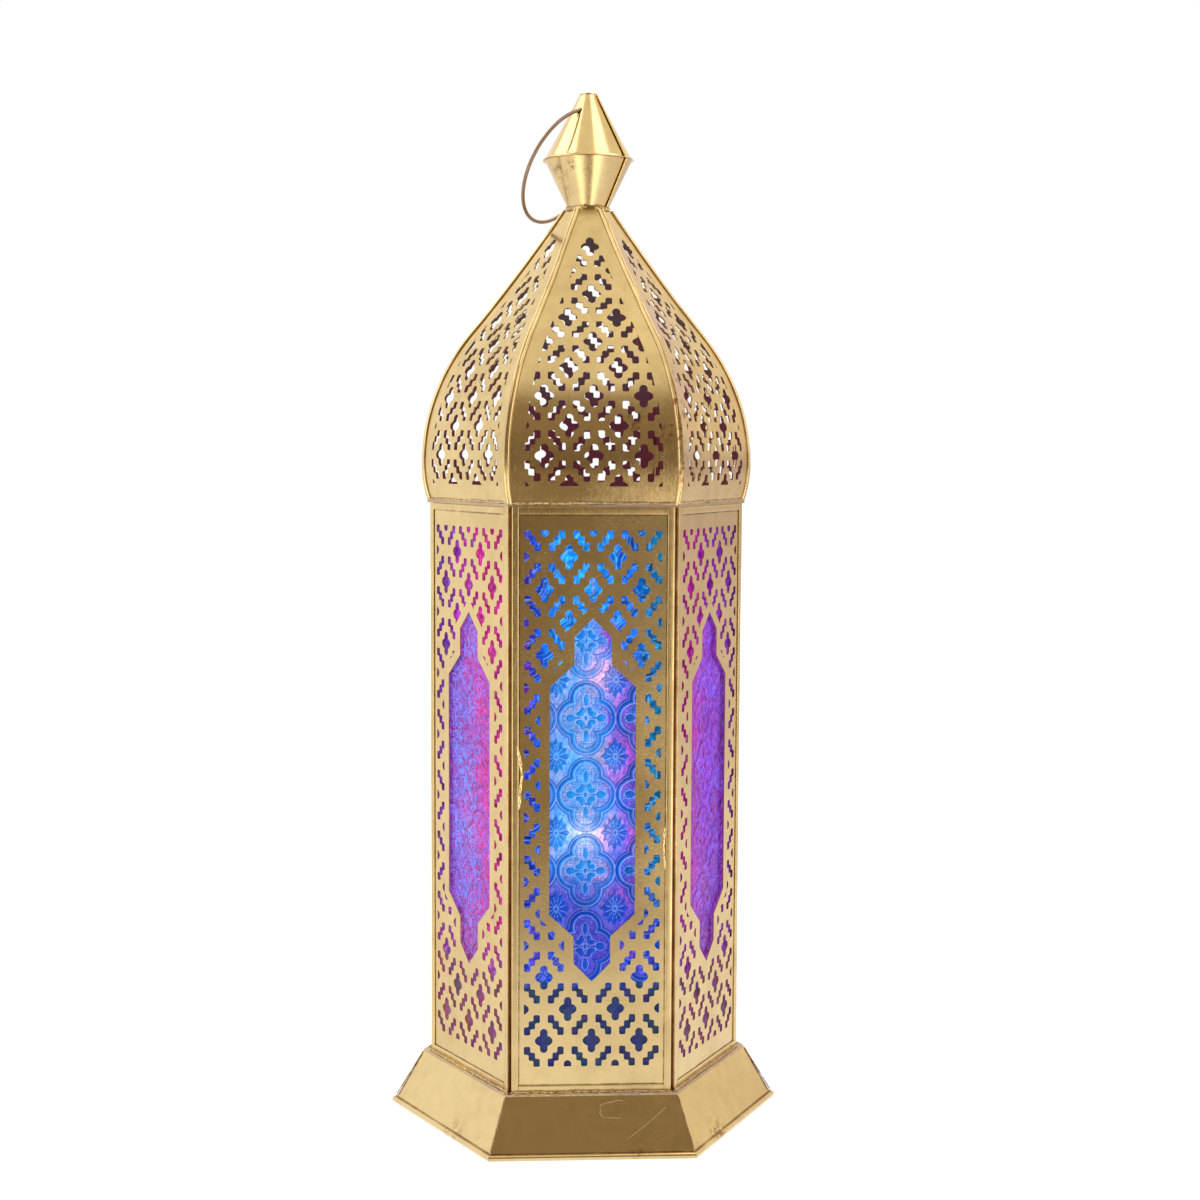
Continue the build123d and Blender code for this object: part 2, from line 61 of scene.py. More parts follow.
MM = 0.001
UP = np.array([0, 0, 1])
SIDES = ("front", "front_right", "rear_right", "rear", "rear_left", "front_left")
CORNERS = ("front_right", "right", "rear_right", "rear_left", "left", "front_left")
BODY_APOTHEM = 67.4
PANE_DEPTH = (2.3, 3.85)
PANE_HALF, PANE_FOOT, PANE_HEAD = 33.9, 30.4, 298.4
BAR = 3.3
RING_PIVOT, RING_TURN = 491.2, 57.5
PANEL_FOOT, PANEL_TOP = (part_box("frame_front")[end].z / MM for end in (0, 1))
PANEL_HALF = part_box("frame_front")[1].x / MM
PANEL_MIDDLE, PANEL_RISE = (PANEL_FOOT + PANEL_TOP) / 2, (PANEL_TOP - PANEL_FOOT) / 2


# Settings


def size(name, description, default):
    """One length in metres that a user may change."""
    return FloatProperty(name=name, description=description, default=default, unit="LENGTH", precision=5)


def colour(name, description, default):
    """One scene-linear colour that a user may change."""
    return FloatVectorProperty(name=name, description=description, default=default, subtype="COLOR",
                               min=0, max=1)


class LanternBrass(PropertyGroup):
    """Colours of the metal."""

    polished: colour("Polished brass", "Rubbed faces of the sheet", (0.84, 0.635, 0.305))
    tarnish: colour("Tarnish", "Cloudy brown film on the sheet", (0.46, 0.29, 0.105))
    rust: colour("Stain", "Red-brown stains at seams", (0.22, 0.055, 0.015))
    solder: colour("Solder", "Grey solder on the joints", (0.54, 0.415, 0.30))
    lining: colour("Inside", "Dull inner face of the dome", (0.13, 0.05, 0.04))
    groove: colour("Groove strip", "Brown strip in the corner grooves", (0.16, 0.068, 0.026))
    wire: colour("Ring wire", "Bronze wire of the hanging ring", (0.33, 0.215, 0.155))


class LanternGlass(PropertyGroup):
    """Sizes of the embossed pattern and how strongly the panes are lit."""

    repeat_width: size("Repeat width", "Medallion to medallion across the pane", 0.0276)
    repeat_height: size("Repeat height", "Medallion to medallion up the pane", 0.036)
    relief: size("Relief", "Height of the embossing", 0.00034)
    bend: size("Bend of light", "How far the relief shifts the glow behind it", 0.005)
    glow: FloatProperty(name="Glow", description="Strength of the light behind the panes",
                        default=0.86, min=0)


class LanternStage(PropertyGroup):
    """Camera, floor and light."""

    camera: FloatVectorProperty(name="Camera", description="Where the camera stands",
                                default=(-0.0460, -0.9395, 0.3319), subtype="TRANSLATION", unit="LENGTH")
    lens: FloatProperty(name="Lens", description="Focal length in millimetres", default=57.05, min=1)
    pitch: FloatProperty(name="Pitch", description="How far the camera looks down",
                         default=math.radians(4.752), subtype="ANGLE", unit="ROTATION")
    turn: FloatProperty(name="Turn", description="How far the camera looks right of the frame's Y axis",
                        default=math.radians(3.218), subtype="ANGLE", unit="ROTATION")
    roll: FloatProperty(name="Roll", description="Turn of the camera about its own line of sight",
                        default=math.radians(0.272), subtype="ANGLE", unit="ROTATION")
    floor: colour("Floor", "Colour of the floor", (0.86, 0.86, 0.86))
    front: colour("Front of the room", "Dim, warm room behind the camera, as the metal mirrors it",
                  (0.26, 0.195, 0.125))
    ceiling: colour("Ceiling", "Warm ceiling, as the metal mirrors it", (0.86, 0.81, 0.70))


class LanternTrim(PropertyGroup):
    """Sizes of the bars, the finial's sheet and the solder."""

    bar_width: size("Bar width", "Width of the panel frames' bars", 0.0033)
    bar_round: size("Bar rounding", "Radius of the bars' folded edges", 0.0005)
    sheet: size("Sheet", "Thickness of the finial's sheet", 0.00055)
    bead: size("Solder bead", "Radius of the solder along the joints", 0.0008)


# Node trees


class Finish:
    """A material's node tree, with short calls for the nodes that the finishes share."""

    def __init__(self, name, tree=None):
        if tree is None:
            self.material = bpy.data.materials.new(name)
            self.material.use_nodes = True
            tree = self.material.node_tree
            self.shader = tree.nodes["Principled BSDF"]
        self.tree = tree
        self.coordinates = self.node("ShaderNodeTexCoord")
        self.place = self.coordinates.outputs["Object"]

    def plug(self, socket, value):
        """Links an output to a socket, or sets the socket's own value."""
        if isinstance(value, bpy.types.NodeSocket):
            self.tree.links.new(value, socket)
        elif socket.type == "RGBA":
            socket.default_value = (*value[:3], 1)
        else:
            socket.default_value = value

    def node(self, kind, settings=None, **inputs):
        """A new node with these settings and these inputs, named by their sockets."""
        made = self.tree.nodes.new(kind)
        for key, value in (settings or {}).items():
            setattr(made, key, value)
        for key, value in inputs.items():
            self.plug(made.inputs[key.replace("_", " ")], value)
        return made

    def math(self, operation, *values, clamp=False):
        """One arithmetic operation on values in the order of its sockets."""
        made = self.node("ShaderNodeMath", {"operation": operation, "use_clamp": clamp})
        for socket, value in zip(made.inputs, values):
            self.plug(socket, value)
        return made.outputs[0]

    def times(self, value, other):
        """Product of two values."""
        return self.math("MULTIPLY", value, other)

    def plus(self, value, more, share=None):
        """Sum of two values, the second one scaled by share."""
        return self.math("ADD", value, more if share is None else self.times(more, share))

    def most(self, values):
        """The largest of several values, or None without any."""
        return reduce(lambda a, b: self.math("MAXIMUM", a, b), values) if values else None

    def vector(self, operation, *values, out=0):
        """One operation on vectors; out 1 is its single value."""
        made = self.node("ShaderNodeVectorMath", {"operation": operation})
        for socket, value in zip(made.inputs, values):
            self.plug(socket, value)
        return made.outputs[out]

    def axes(self, vector):
        """The vector's x, y and z."""
        return self.node("ShaderNodeSeparateXYZ", Vector=vector).outputs

    def mix(self, share, a, b, blend="MIX"):
        """Colour that lies that share of the way from a to b."""
        made = self.node("ShaderNodeMix", {"data_type": "RGBA", "blend_type": blend})
        for index, value in ((0, share), (6, a), (7, b)):
            self.plug(made.inputs[index], value)
        return made.outputs[2]

    def rise(self, value, low, high, foot=0.0, top=1.0):
        """A smooth step of value from foot at low to top at high."""
        made = self.node("ShaderNodeMapRange", {"interpolation_type": "SMOOTHSTEP"})
        for socket, given in zip(made.inputs, (value, low, high, foot, top)):
            self.plug(socket, given)
        return made.outputs[0]

    def noise(self, scale, detail=3.0, rough=0.55, stretch=None, shift=(0, 0, 0)):
        """Noise of that many cells a metre, stretched along the frame's axes."""
        place = self.node("ShaderNodeMapping", Vector=self.place, Scale=stretch or (1, 1, 1), Location=shift)
        return self.node("ShaderNodeTexNoise", Vector=place.outputs[0], Scale=scale, Detail=detail,
                         Roughness=rough).outputs[0]

    def spot(self, centre, radius):
        """1 at a point given in millimetres, falling smoothly to 0 at radius."""
        away = self.vector("DISTANCE", self.place, [c * MM for c in centre], out=1)
        return self.rise(away, 0.0, radius * MM, 1.0, 0.0)

    def segment(self, start, end):
        """Distance in metres from the line between two points given in millimetres."""
        a, along = np.array(start) * MM, (np.array(end) - np.array(start)) * MM
        offset = self.vector("SUBTRACT", self.place, a.tolist())
        ahead = self.vector("DOT_PRODUCT", offset, along.tolist(), out=1)
        share = self.math("DIVIDE", ahead, float(along @ along), clamp=True)
        foot = self.node("ShaderNodeVectorMath", {"operation": "SCALE"}, Scale=share)
        self.plug(foot.inputs[0], along.tolist())
        return self.vector("DISTANCE", offset, foot.outputs[0], out=1)

    def bump(self, height_mm):
        """A normal tilted by a height given in millimetres."""
        return self.node("ShaderNodeBump", Height=height_mm, Strength=1.0, Distance=MM).outputs[0]

    def either(self, share, a, b):
        """A shader that lies that share of the way from shader a to shader b."""
        made = self.node("ShaderNodeMixShader", Fac=share)
        for socket, shader in zip(made.inputs[1:], (a, b)):
            self.plug(socket, shader.outputs[0])
        return made

    def set(self, **sockets):
        """Sets the material's shader by the names of its sockets, and gives back the material."""
        for key, value in sockets.items():
            self.plug(self.shader.inputs[key.replace("_", " ")], value)
        return self.material

    def show(self, shader):
        """Makes another shader the material's own, and gives back the material."""
        self.tree.nodes.remove(self.shader)
        self.tree.links.new(shader.outputs[0], self.tree.nodes["Material Output"].inputs[0])
        return self.material


# What lies on the metal, with the painted shade and painted glow on it, beside the colours that a user may
# change
PITS = (0.06, 0.035, 0.018)
# Dirt and painted shade along the frame bars
BAR_DIRT_AND_SHADE = (0.07, 0.045, 0.025)
# Rust and painted shade in the hem's fold
HEM_RUST_AND_SHADE = (0.20, 0.070, 0.030)
# Grime and painted shade in crevices, where the mesh's attribute puts them
GRIME_AND_SHADE = (0.27, 0.135, 0.060)
SLIT = (0.015, 0.01, 0.008)
BLUSH = (0.68, 0.47, 0.40)
SCORE = (0.95, 0.80, 0.52)
DULL_LINING = (0.10, 0.075, 0.065)
# Painted glow on the inner faces, standing in for the light from inside, low down and higher up
LOW_GLOW, HIGH_GLOW = (0.115, 0.018, 0.026), (0.085, 0.058, 0.052)


def beside_bars(f, side):
    """1 on the sheet of one side against its frame's bars, 0 from a millimetre away."""
    across = f.math("ABSOLUTE", f.vector("DOT_PRODUCT", f.place, side_frame(side)[1].tolist(), out=1))
    up = f.math("ABSOLUTE", f.math("SUBTRACT", f.axes(f.place)[2], PANEL_MIDDLE * MM))
    inner, end = PANEL_HALF - BAR, PANEL_RISE - BAR
    return f.math("MAXIMUM", f.rise(across, (inner - 0.9) * MM, (inner - 0.1) * MM),
                  f.rise(up, (end - 1.0) * MM, (end - 0.1) * MM))


def lined(f, surface, rough, patchy):
    """Colour and roughness with a dull lining on the faces that look towards the axis. They also get a painted
    glow, an emission standing in for the light from inside, wine red low down and brown above."""
    look = bpy.context.scene.lantern_brass
    inward = f.vector("DOT_PRODUCT", f.coordinates.outputs["Normal"],
                      f.vector("MULTIPLY", f.place, (-1, -1, 0)), out=1)
    inside = f.rise(inward, 0.0, 0.012)
    surface = f.mix(inside, surface, f.mix(f.rise(patchy, 0.35, 0.65), look.lining, DULL_LINING))
    tint = f.mix(f.rise(f.plus(f.axes(f.place)[2], patchy, 0.06), 0.37, 0.42), LOW_GLOW, HIGH_GLOW)
    f.set(Emission_Color=f.mix(inside, (0, 0, 0), tint), Emission_Strength=0.55)
    return surface, f.plus(rough, inside, 0.3)


def brass(name, tone=1.0, cloud=0.45, specks=0.25, smooth=0.17, dull=0.36, wave=0.10, brush=(1, 1, 1),
          film=None, film_share=0.0, lining=False, stains=(), blush=(), scratches=(), cuts=(), side=None,
          hem=None, grime_and_shade=False, shift=0.0):
    """Aged polished sheet: cloudy tarnish and dark specks on bright brass, brushed scratches and sheet waves.
    Stains and pink blush are (centre, radius, strength), scratches and cuts (start, end), in millimetres. A
    side gets dirt and painted shade along its bars, a hem rust and painted shade in the fold at that height,
    and grime and painted shade follow the mesh's own attribute for them."""
    look = bpy.context.scene.lantern_brass
    f = Finish(name)
    patchy = f.noise(16, 5, 0.6, shift=(shift, 0, 0))
    mottle = f.noise(120, 4, 0.6, shift=(0.3, 0.1 + shift, 0.7))
    fine = f.noise(900, 2, 0.5)
    scratch = f.noise(420, 3, 0.6, stretch=brush)
    polished = [c * tone for c in look.polished]
    cloudy = f.times(f.rise(f.plus(patchy, mottle, 0.5), 0.62, 0.98), cloud)
    surface = f.mix(cloudy, polished, look.tarnish)
    surface = f.mix(f.rise(mottle, 0.35, 0.75, 0.0, 0.18), surface, [c * 0.74 for c in polished])
    if film is not None:
        coat = f.times(f.rise(f.plus(patchy, mottle, 0.4), 0.45, 0.85), film_share)
        surface = f.mix(coat, surface, film)
    for centre, radius, strength in blush:
        near = f.times(f.spot(centre, radius), f.rise(mottle, 0.2, 0.7, 0.75 * strength, strength))
        surface = f.mix(near, surface, BLUSH)
    pitted = f.times(f.rise(f.noise(520, 2, 0.5, shift=(2, 5, 1)), 0.66, 0.74), f.rise(patchy, 0.45, 0.7))
    pitted = f.times(pitted, specks)
    # Dirt and painted shade on the sheet where it meets the bars
    if side is not None:
        crumbs = f.rise(f.plus(mottle, fine, 0.3), 0.42, 0.78)
        dirt_and_shade = f.times(beside_bars(f, side), f.math("MULTIPLY_ADD", crumbs, 0.6, 0.25))
        surface = f.mix(dirt_and_shade, surface, BAR_DIRT_AND_SHADE)
    # Rust in the hem's fold, with painted shade in the crease above the rolled tube
    if hem is not None:
        fold = f.math("ABSOLUTE", f.math("SUBTRACT", f.axes(f.place)[2], hem * MM))
        patchy_fold = f.rise(f.plus(mottle, patchy, 0.6), 0.55, 0.95, 0.45, 1.0)
        surface = f.mix(f.times(f.rise(fold, 0.00005, 0.00030, 1.0, 0.0), patchy_fold), surface, HEM_RUST_AND_SHADE)
    # Grime and painted shade in the crevices of the bars and seams, from the mesh's attribute
    if grime_and_shade:
        dirt_and_shade = f.node("ShaderNodeAttribute", {"attribute_name": "grime_and_shade"}).outputs["Fac"]
        dirt_and_shade = f.times(dirt_and_shade, f.rise(f.plus(mottle, patchy), 0.6, 1.25, 0.6, 1.0))
        surface = f.mix(dirt_and_shade, surface, GRIME_AND_SHADE)
    for start, end in cuts:
        surface = f.mix(f.rise(f.segment(start, end), 0.0002, 0.0005, 1.0, 0.0), surface, SLIT)
    rusty = f.most([f.times(f.spot(centre, radius), strength) for centre, radius, strength in stains])
    if rusty is not None:
        crust = f.rise(f.noise(260, 5, 0.65, shift=(4, 1, 3)), 0.46, 0.60)
        surface = f.mix(f.math("MULTIPLY", rusty, crust, clamp=True), surface, look.rust)
    surface = f.mix(pitted, surface, PITS)
    rough = f.plus(f.rise(patchy, 0.3, 0.75, smooth, dull), f.rise(scratch, 0.35, 0.75, -0.03, 0.05))
    rough = f.plus(rough, pitted, 0.3)
    scored = f.most([f.rise(f.segment(start, end), 0.00005, 0.00028, 1.0, 0.0) for start, end in scratches])
    if scored is not None:
        scored = f.times(scored, f.rise(mottle, 0.25, 0.6, 0.35, 1.0))
        surface = f.mix(f.times(scored, 0.5), surface, SCORE)
        rough = f.plus(rough, scored, 0.25)
    if lining:
        surface, rough = lined(f, surface, rough, patchy)
    height = f.times(f.noise(24, 1, 0.4, shift=(7 + shift, 2, 5)), wave)
    height = f.plus(f.plus(height, scratch, 0.004), fine, 0.0016)
    height = f.math("SUBTRACT", height, f.times(pitted, 0.04))
    return f.set(Base_Color=surface, Metallic=1.0, Roughness=f.math("MAXIMUM", rough, 0.08),
                 Normal=f.bump(height))


def dress(node, material):
    """Gives a CAD node its finish."""
    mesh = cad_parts[node].data
    mesh.materials.clear()
    mesh.materials.append(material)


def named(*starts):
    """The CAD nodes whose names begin with one of these."""
    return [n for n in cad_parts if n.startswith(starts)]


# Surfaces


def mesh_piece(name, points, faces, body, material, slot, colours=None, layer="glow"):
    """A piece from an array of points in millimetres and lists of face corners, with a colour a point."""
    mesh = bpy.data.meshes.new(name)
    mesh.from_pydata((np.asarray(points) * MM).tolist(), [], faces)
    mesh.polygons.foreach_set("use_smooth", np.full(len(mesh.polygons), True))
    if colours is not None:
        rgba = np.concatenate([colours, np.ones((len(colours), 1))], axis=1)
        paint = mesh.color_attributes.new(layer, "FLOAT_COLOR", "POINT")
        paint.data.foreach_set("color", rgba.astype(np.float32).ravel())
    mesh.materials.append(material)
    mesh.update()
    piece = bpy.data.objects.new(name, mesh)
    bpy.context.scene.collection.objects.link(piece)
    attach(piece, body)
    return piece


def grid_faces(rows, columns, wrap=False):
    """Quads of a grid of points stored row by row, closed round when wrap is set."""
    index = np.arange(rows * columns).reshape(rows, columns)
    if wrap:
        index = np.concatenate([index, index[:, :1]], axis=1)
    a, b, c, d = index[:-1, :-1], index[:-1, 1:], index[1:, 1:], index[1:, :-1]
    return np.stack([a, b, c, d], axis=-1).reshape(-1, 4)


def outward(piece):
    """Turns every face of a closed piece outwards and sharpens its corners."""
    shape = bmesh.new()
    shape.from_mesh(piece.data)
    bmesh.ops.recalc_face_normals(shape, faces=shape.faces)
    shape.to_mesh(piece.data)
    shape.free()
    piece.data.set_sharp_from_angle(angle=math.radians(42))
    return piece


def joined(parts):
    """Several (points, faces) pairs as one."""
    points, faces, start = [], [], 0
    for some_points, some_faces in parts:
        points.append(some_points)
        faces += [[corner + start for corner in face] for face in some_faces]
        start += len(some_points)
    return np.concatenate(points), faces


def loft(rings):
    """Closed skin over rings of points, an array of ring by point by axis, with a flat cap at each end."""
    count, around, _ = rings.shape
    faces = grid_faces(count, around, wrap=True).tolist()
    caps = [list(range(around))[::-1], list(range((count - 1) * around, count * around))]
    return rings.reshape(-1, 3), faces + caps


def wander(along, seed, pitch):
    """Uneven wave from about -1 to 1 along a line: sines of several pitches with phases from the seed."""
    phases = np.random.default_rng(seed).uniform(0, 2 * math.pi, 5)
    rates = np.array([0.43, 1.0, 1.7, 2.9, 4.3])
    weights = np.array([0.5, 0.45, 0.3, 0.22, 0.15])
    return (weights * np.sin(np.asarray(along)[..., None] * rates * 2 * math.pi / pitch + phases)).sum(-1)


def bead(path, radius, seed, sides=10, flat=1.0, face=(0, 0, 1)):
    """A run of solder: circles carried along a path of points, with radii that wander and taper off at both
    ends; flat squashes them along the face direction."""
    path = np.asarray(path, float)
    length = np.concatenate([[0], np.cumsum(np.linalg.norm(np.diff(path, axis=0), axis=1))])
    tangent = np.gradient(path, axis=0)
    tangent /= np.linalg.norm(tangent, axis=1)[:, None]
    across = np.cross(tangent, np.asarray(face, float))
    across /= np.linalg.norm(across, axis=1)[:, None]
    up = np.cross(across, tangent)
    taper = np.sqrt(np.clip(np.minimum(length, length[-1] - length) / (2.5 * radius), 0.02, 1))
    uneven = 1 + 0.30 * wander(length, seed, 14 * radius) + 0.14 * wander(length, seed + 1, 4 * radius)
    thick = radius * taper * uneven
    angle = np.linspace(0, 2 * math.pi, sides, endpoint=False)
    lump = 1 + 0.10 * wander(length[:, None] + 5 * np.cos(angle), seed + 2, 5 * radius)
    spoke = np.cos(angle)[:, None] * across[:, None, :] + flat * np.sin(angle)[:, None] * up[:, None, :]
    return loft(path[:, None, :] + (thick[:, None] * lump)[..., None] * spoke)


def side_frame(side):
    """Outward and rightward directions of one side of the hexagon, as seen from outside."""
    angle = math.radians(-90 + 60 * SIDES.index(side))
    return np.array([math.cos(angle), math.sin(angle), 0]), np.array([-math.sin(angle), math.cos(angle), 0])


def on_side(side, depth, t, z):
    """Points at depths behind the face of one side, t across it and z up, in millimetres."""
    out, right = side_frame(side)
    return (BODY_APOTHEM - depth)[..., None] * out + t[..., None] * right + z[..., None] * UP


def ridge(distance, width):
    """A rounded line of that half width, 1 at distance 0."""
    return np.exp(-(distance / width) ** 2)


def dome_of(u, v, half_u, half_v, power=2.0):
    """A rounded bead over an ellipse: 1 in the middle, 0 at its edge and beyond."""
    return np.sqrt(np.clip(1 - (np.abs(u) / half_u) ** power - (np.abs(v) / half_v) ** power, 0, 1))


def leaf_cross(u, v):
    """The cross in a quatrefoil's middle: the height of its drops, leaves and eye, and the share of a rim
    round them."""
    a, b = np.abs(u), np.abs(v)
    shapes = ((u, b - 8.4, 1.35, 3.0, 1.5), (a - 7.1, v, 2.25, 1.85, 2), (a - 2.9, b - 1.95, 1.9, 1.35, 1.8),
              (a - 1.75, b - 3.3, 1.2, 2.1, 1.8), (u, v, 0.8, 1.1, 2))
    stalk = dome_of(a - 4.0, v, 1.6, 0.45, 1.6)
    leaves = np.maximum.reduce([dome_of(*shape) for shape in shapes] + [stalk])
    rim = 0.36
    around = np.maximum.reduce([step(dome_of(x, y, half_x + rim, half_y + rim, power), 0, 0.05)
                                for x, y, half_x, half_y, power in shapes])
    return leaves, around


def daisy_at(p, q):
    """A daisy of twelve pointed petals about p = q = 0: the shares of its face, of the bright lines between
    its petals and of the furrows along them. Its edge is a rounded diamond, drawn in between the petals."""
    spoke, away = np.arctan2(q / 7.4, p / 5.7), np.hypot(p, q)
    diamond = ((np.abs(p) / 6.9) ** 1.45 + (np.abs(q) / 9.0) ** 1.45) ** 0.69
    reach = diamond / (1 - 0.24 * np.abs(np.sin(6 * spoke)))
    clear = step(reach, 0.24, 0.34)
    strokes = ridge(np.cos(6 * spoke) * away / 6, 0.125) * clear * step(reach, 0.98, 0.80)
    furrows = ridge(np.cos(6 * spoke + 0.9) * away / 6, 0.17) * clear * step(reach, 1.0, 0.86)
    return step(reach, 1.02, 0.95), strokes, furrows


# The glass pattern in a repeat of this width: where the quatrefoil's round lobes lie above and beside its
# middle, and the spacing of the dots in it and of the ripples round it
REPEAT = 27.6
LOBE_UP, LOBE_ASIDE = 9.3, 4.9
DOT_PITCH, RIPPLE_PITCH = 1.2, 1.25


def embossing(t, z, width, height, centre):
    """The embossed glass at t across and z up the pane, in millimetres: its height from 0 to 1, and the
    shares of raised faces, of bright edges that carry painted highlights, of dark edges and dots that carry
    painted shade, and of ripples. Each cell of the repeat holds a quatrefoil, the nearer of a round lobe above
    and one beside the middle, with a band along its outline and painted shade just outside it, a dotted field,
    a cross of leaves and drops, and a daisy at the cell's corners. All distances are taken from the cell's
    middle."""
    k = width / REPEAT
    u = ((t - centre[0] + width / 2) % width - width / 2) / k
    v = ((z - centre[1] + height / 2) % height - height / 2) / k
    half_width, half_height = width / 2 / k, height / 2 / k
    a, b = np.abs(u), np.abs(v)
    outline = np.minimum(np.hypot(a, b - LOBE_UP) - 5.1, np.hypot(a - LOBE_ASIDE, b) - 6.4)
    field = step(outline, 0.05, -0.25)
    band = step(outline, 0.35, 0.6) * step(outline, 2.35, 2.1)
    outside = step(outline, 2.55, 2.8)
    leaves, around = leaf_cross(u, v)
    lobe = np.arctan2(v - np.sign(v) * LOBE_UP * (b > 6.6), u - np.sign(u) * LOBE_ASIDE * (b <= 6.6))
    rows = ridge(outline + 0.75, 0.34) * ridge(np.sin(8.5 * lobe), 0.75)
    grid = (ridge((u + DOT_PITCH / 2) % DOT_PITCH - DOT_PITCH / 2, 0.38)
            * ridge((v + DOT_PITCH / 2) % DOT_PITCH - DOT_PITCH / 2, 0.38))
    dots = np.maximum(grid * step(outline, -1.15, -1.4), 0.8 * rows) * field * (1 - around)
    p, q = a - half_width, b - half_height
    daisy, strokes, furrows = (share * outside for share in daisy_at(p, q))
    eye = ridge(np.hypot(p, q / 1.4) - 0.95, 0.24) * outside
    middle = np.hypot(a, b - half_height)
    knot = np.maximum(ridge(middle - 1.0, 0.24), ridge(middle, 0.35)) * outside
    cross = ridge(a - (half_height - b) * 0.9, 0.30) * step(a, 4.2, 1.6) * outside
    # Painted shade just outside the band's outline, fading away from it
    outline_shade = np.exp(-np.clip(outline - 2.75, 0, None) / 0.9) * outside
    inner, outer = ridge(outline - 0.32, 0.23), ridge(outline - 2.50, 0.23)
    # tilt makes one side of each outline lighter and the other darker: painted light from one side
    tilt = (v - u) / np.maximum(math.sqrt(2) * np.hypot(u, v), 1e-6)
    raised = np.maximum.reduce([band, step(leaves, 0.05, 0.35), daisy, 0.7 * outline_shade])
    bright = np.maximum.reduce([(0.70 + 0.30 * tilt) * inner, (0.70 - 0.30 * tilt) * outer, 0.95 * strokes,
                                0.8 * eye, 0.8 * knot, 0.65 * around * step(leaves, 0.12, 0.0), 0.7 * cross])
    dark = np.maximum.reduce([(0.8 - 0.2 * tilt) * ridge(outline + 0.16, 0.36), dots, furrows,
                              (0.75 + 0.25 * tilt) * ridge(outline - 1.90, 0.46),
                              0.85 * ridge(outline - 3.05, 0.38),
                              0.7 * around * step(leaves, 0.0, 0.1) * step(leaves, 0.55, 0.25)])
    ripple = np.sin(outline * 2 * math.pi / RIPPLE_PITCH) * outside * (1 - daisy)
    tall = np.maximum.reduce([0.8 * band, 0.6 * inner, 0.6 * outer, leaves, daisy * (0.85 - 0.4 * strokes),
                              0.5 * knot, 0.5 * cross, 0.35 * dots, 0.2 * field])
    return tall + 0.035 * mottling(t * 7, z * 7, 3), raised, bright, dark, ripple


def mottling(t, z, seed):
    """Slow, uneven variation from -1 to 1: a sum of sines whose directions and phases come from the seed."""
    turn = np.random.default_rng(seed).uniform(0, 2 * math.pi, (6, 2))
    total = np.zeros_like(t)
    for number, (way, phase) in enumerate(turn):
        pitch = 46.0 / (1 + 0.55 * number)
        total = total + np.sin((t * math.cos(way) + z * math.sin(way)) * 2 * math.pi / pitch + phase)
    return total / 3.2


def speckle(shape, seed):
    """Fine grain with a spread of 1: random numbers from the seed, each averaged with its neighbours."""
    grain = np.random.default_rng(seed).normal(size=shape)
    for axis in (0, 1, 0, 1):
        grain = (np.roll(grain, 1, axis) + 2 * grain + np.roll(grain, -1, axis)) / 4
    return grain / grain.std()


def step(value, low, high):
    """A smooth step from 0 at low to 1 at high."""
    share = np.clip((value - low) / (high - low), 0, 1)
    return share * share * (3 - 2 * share)
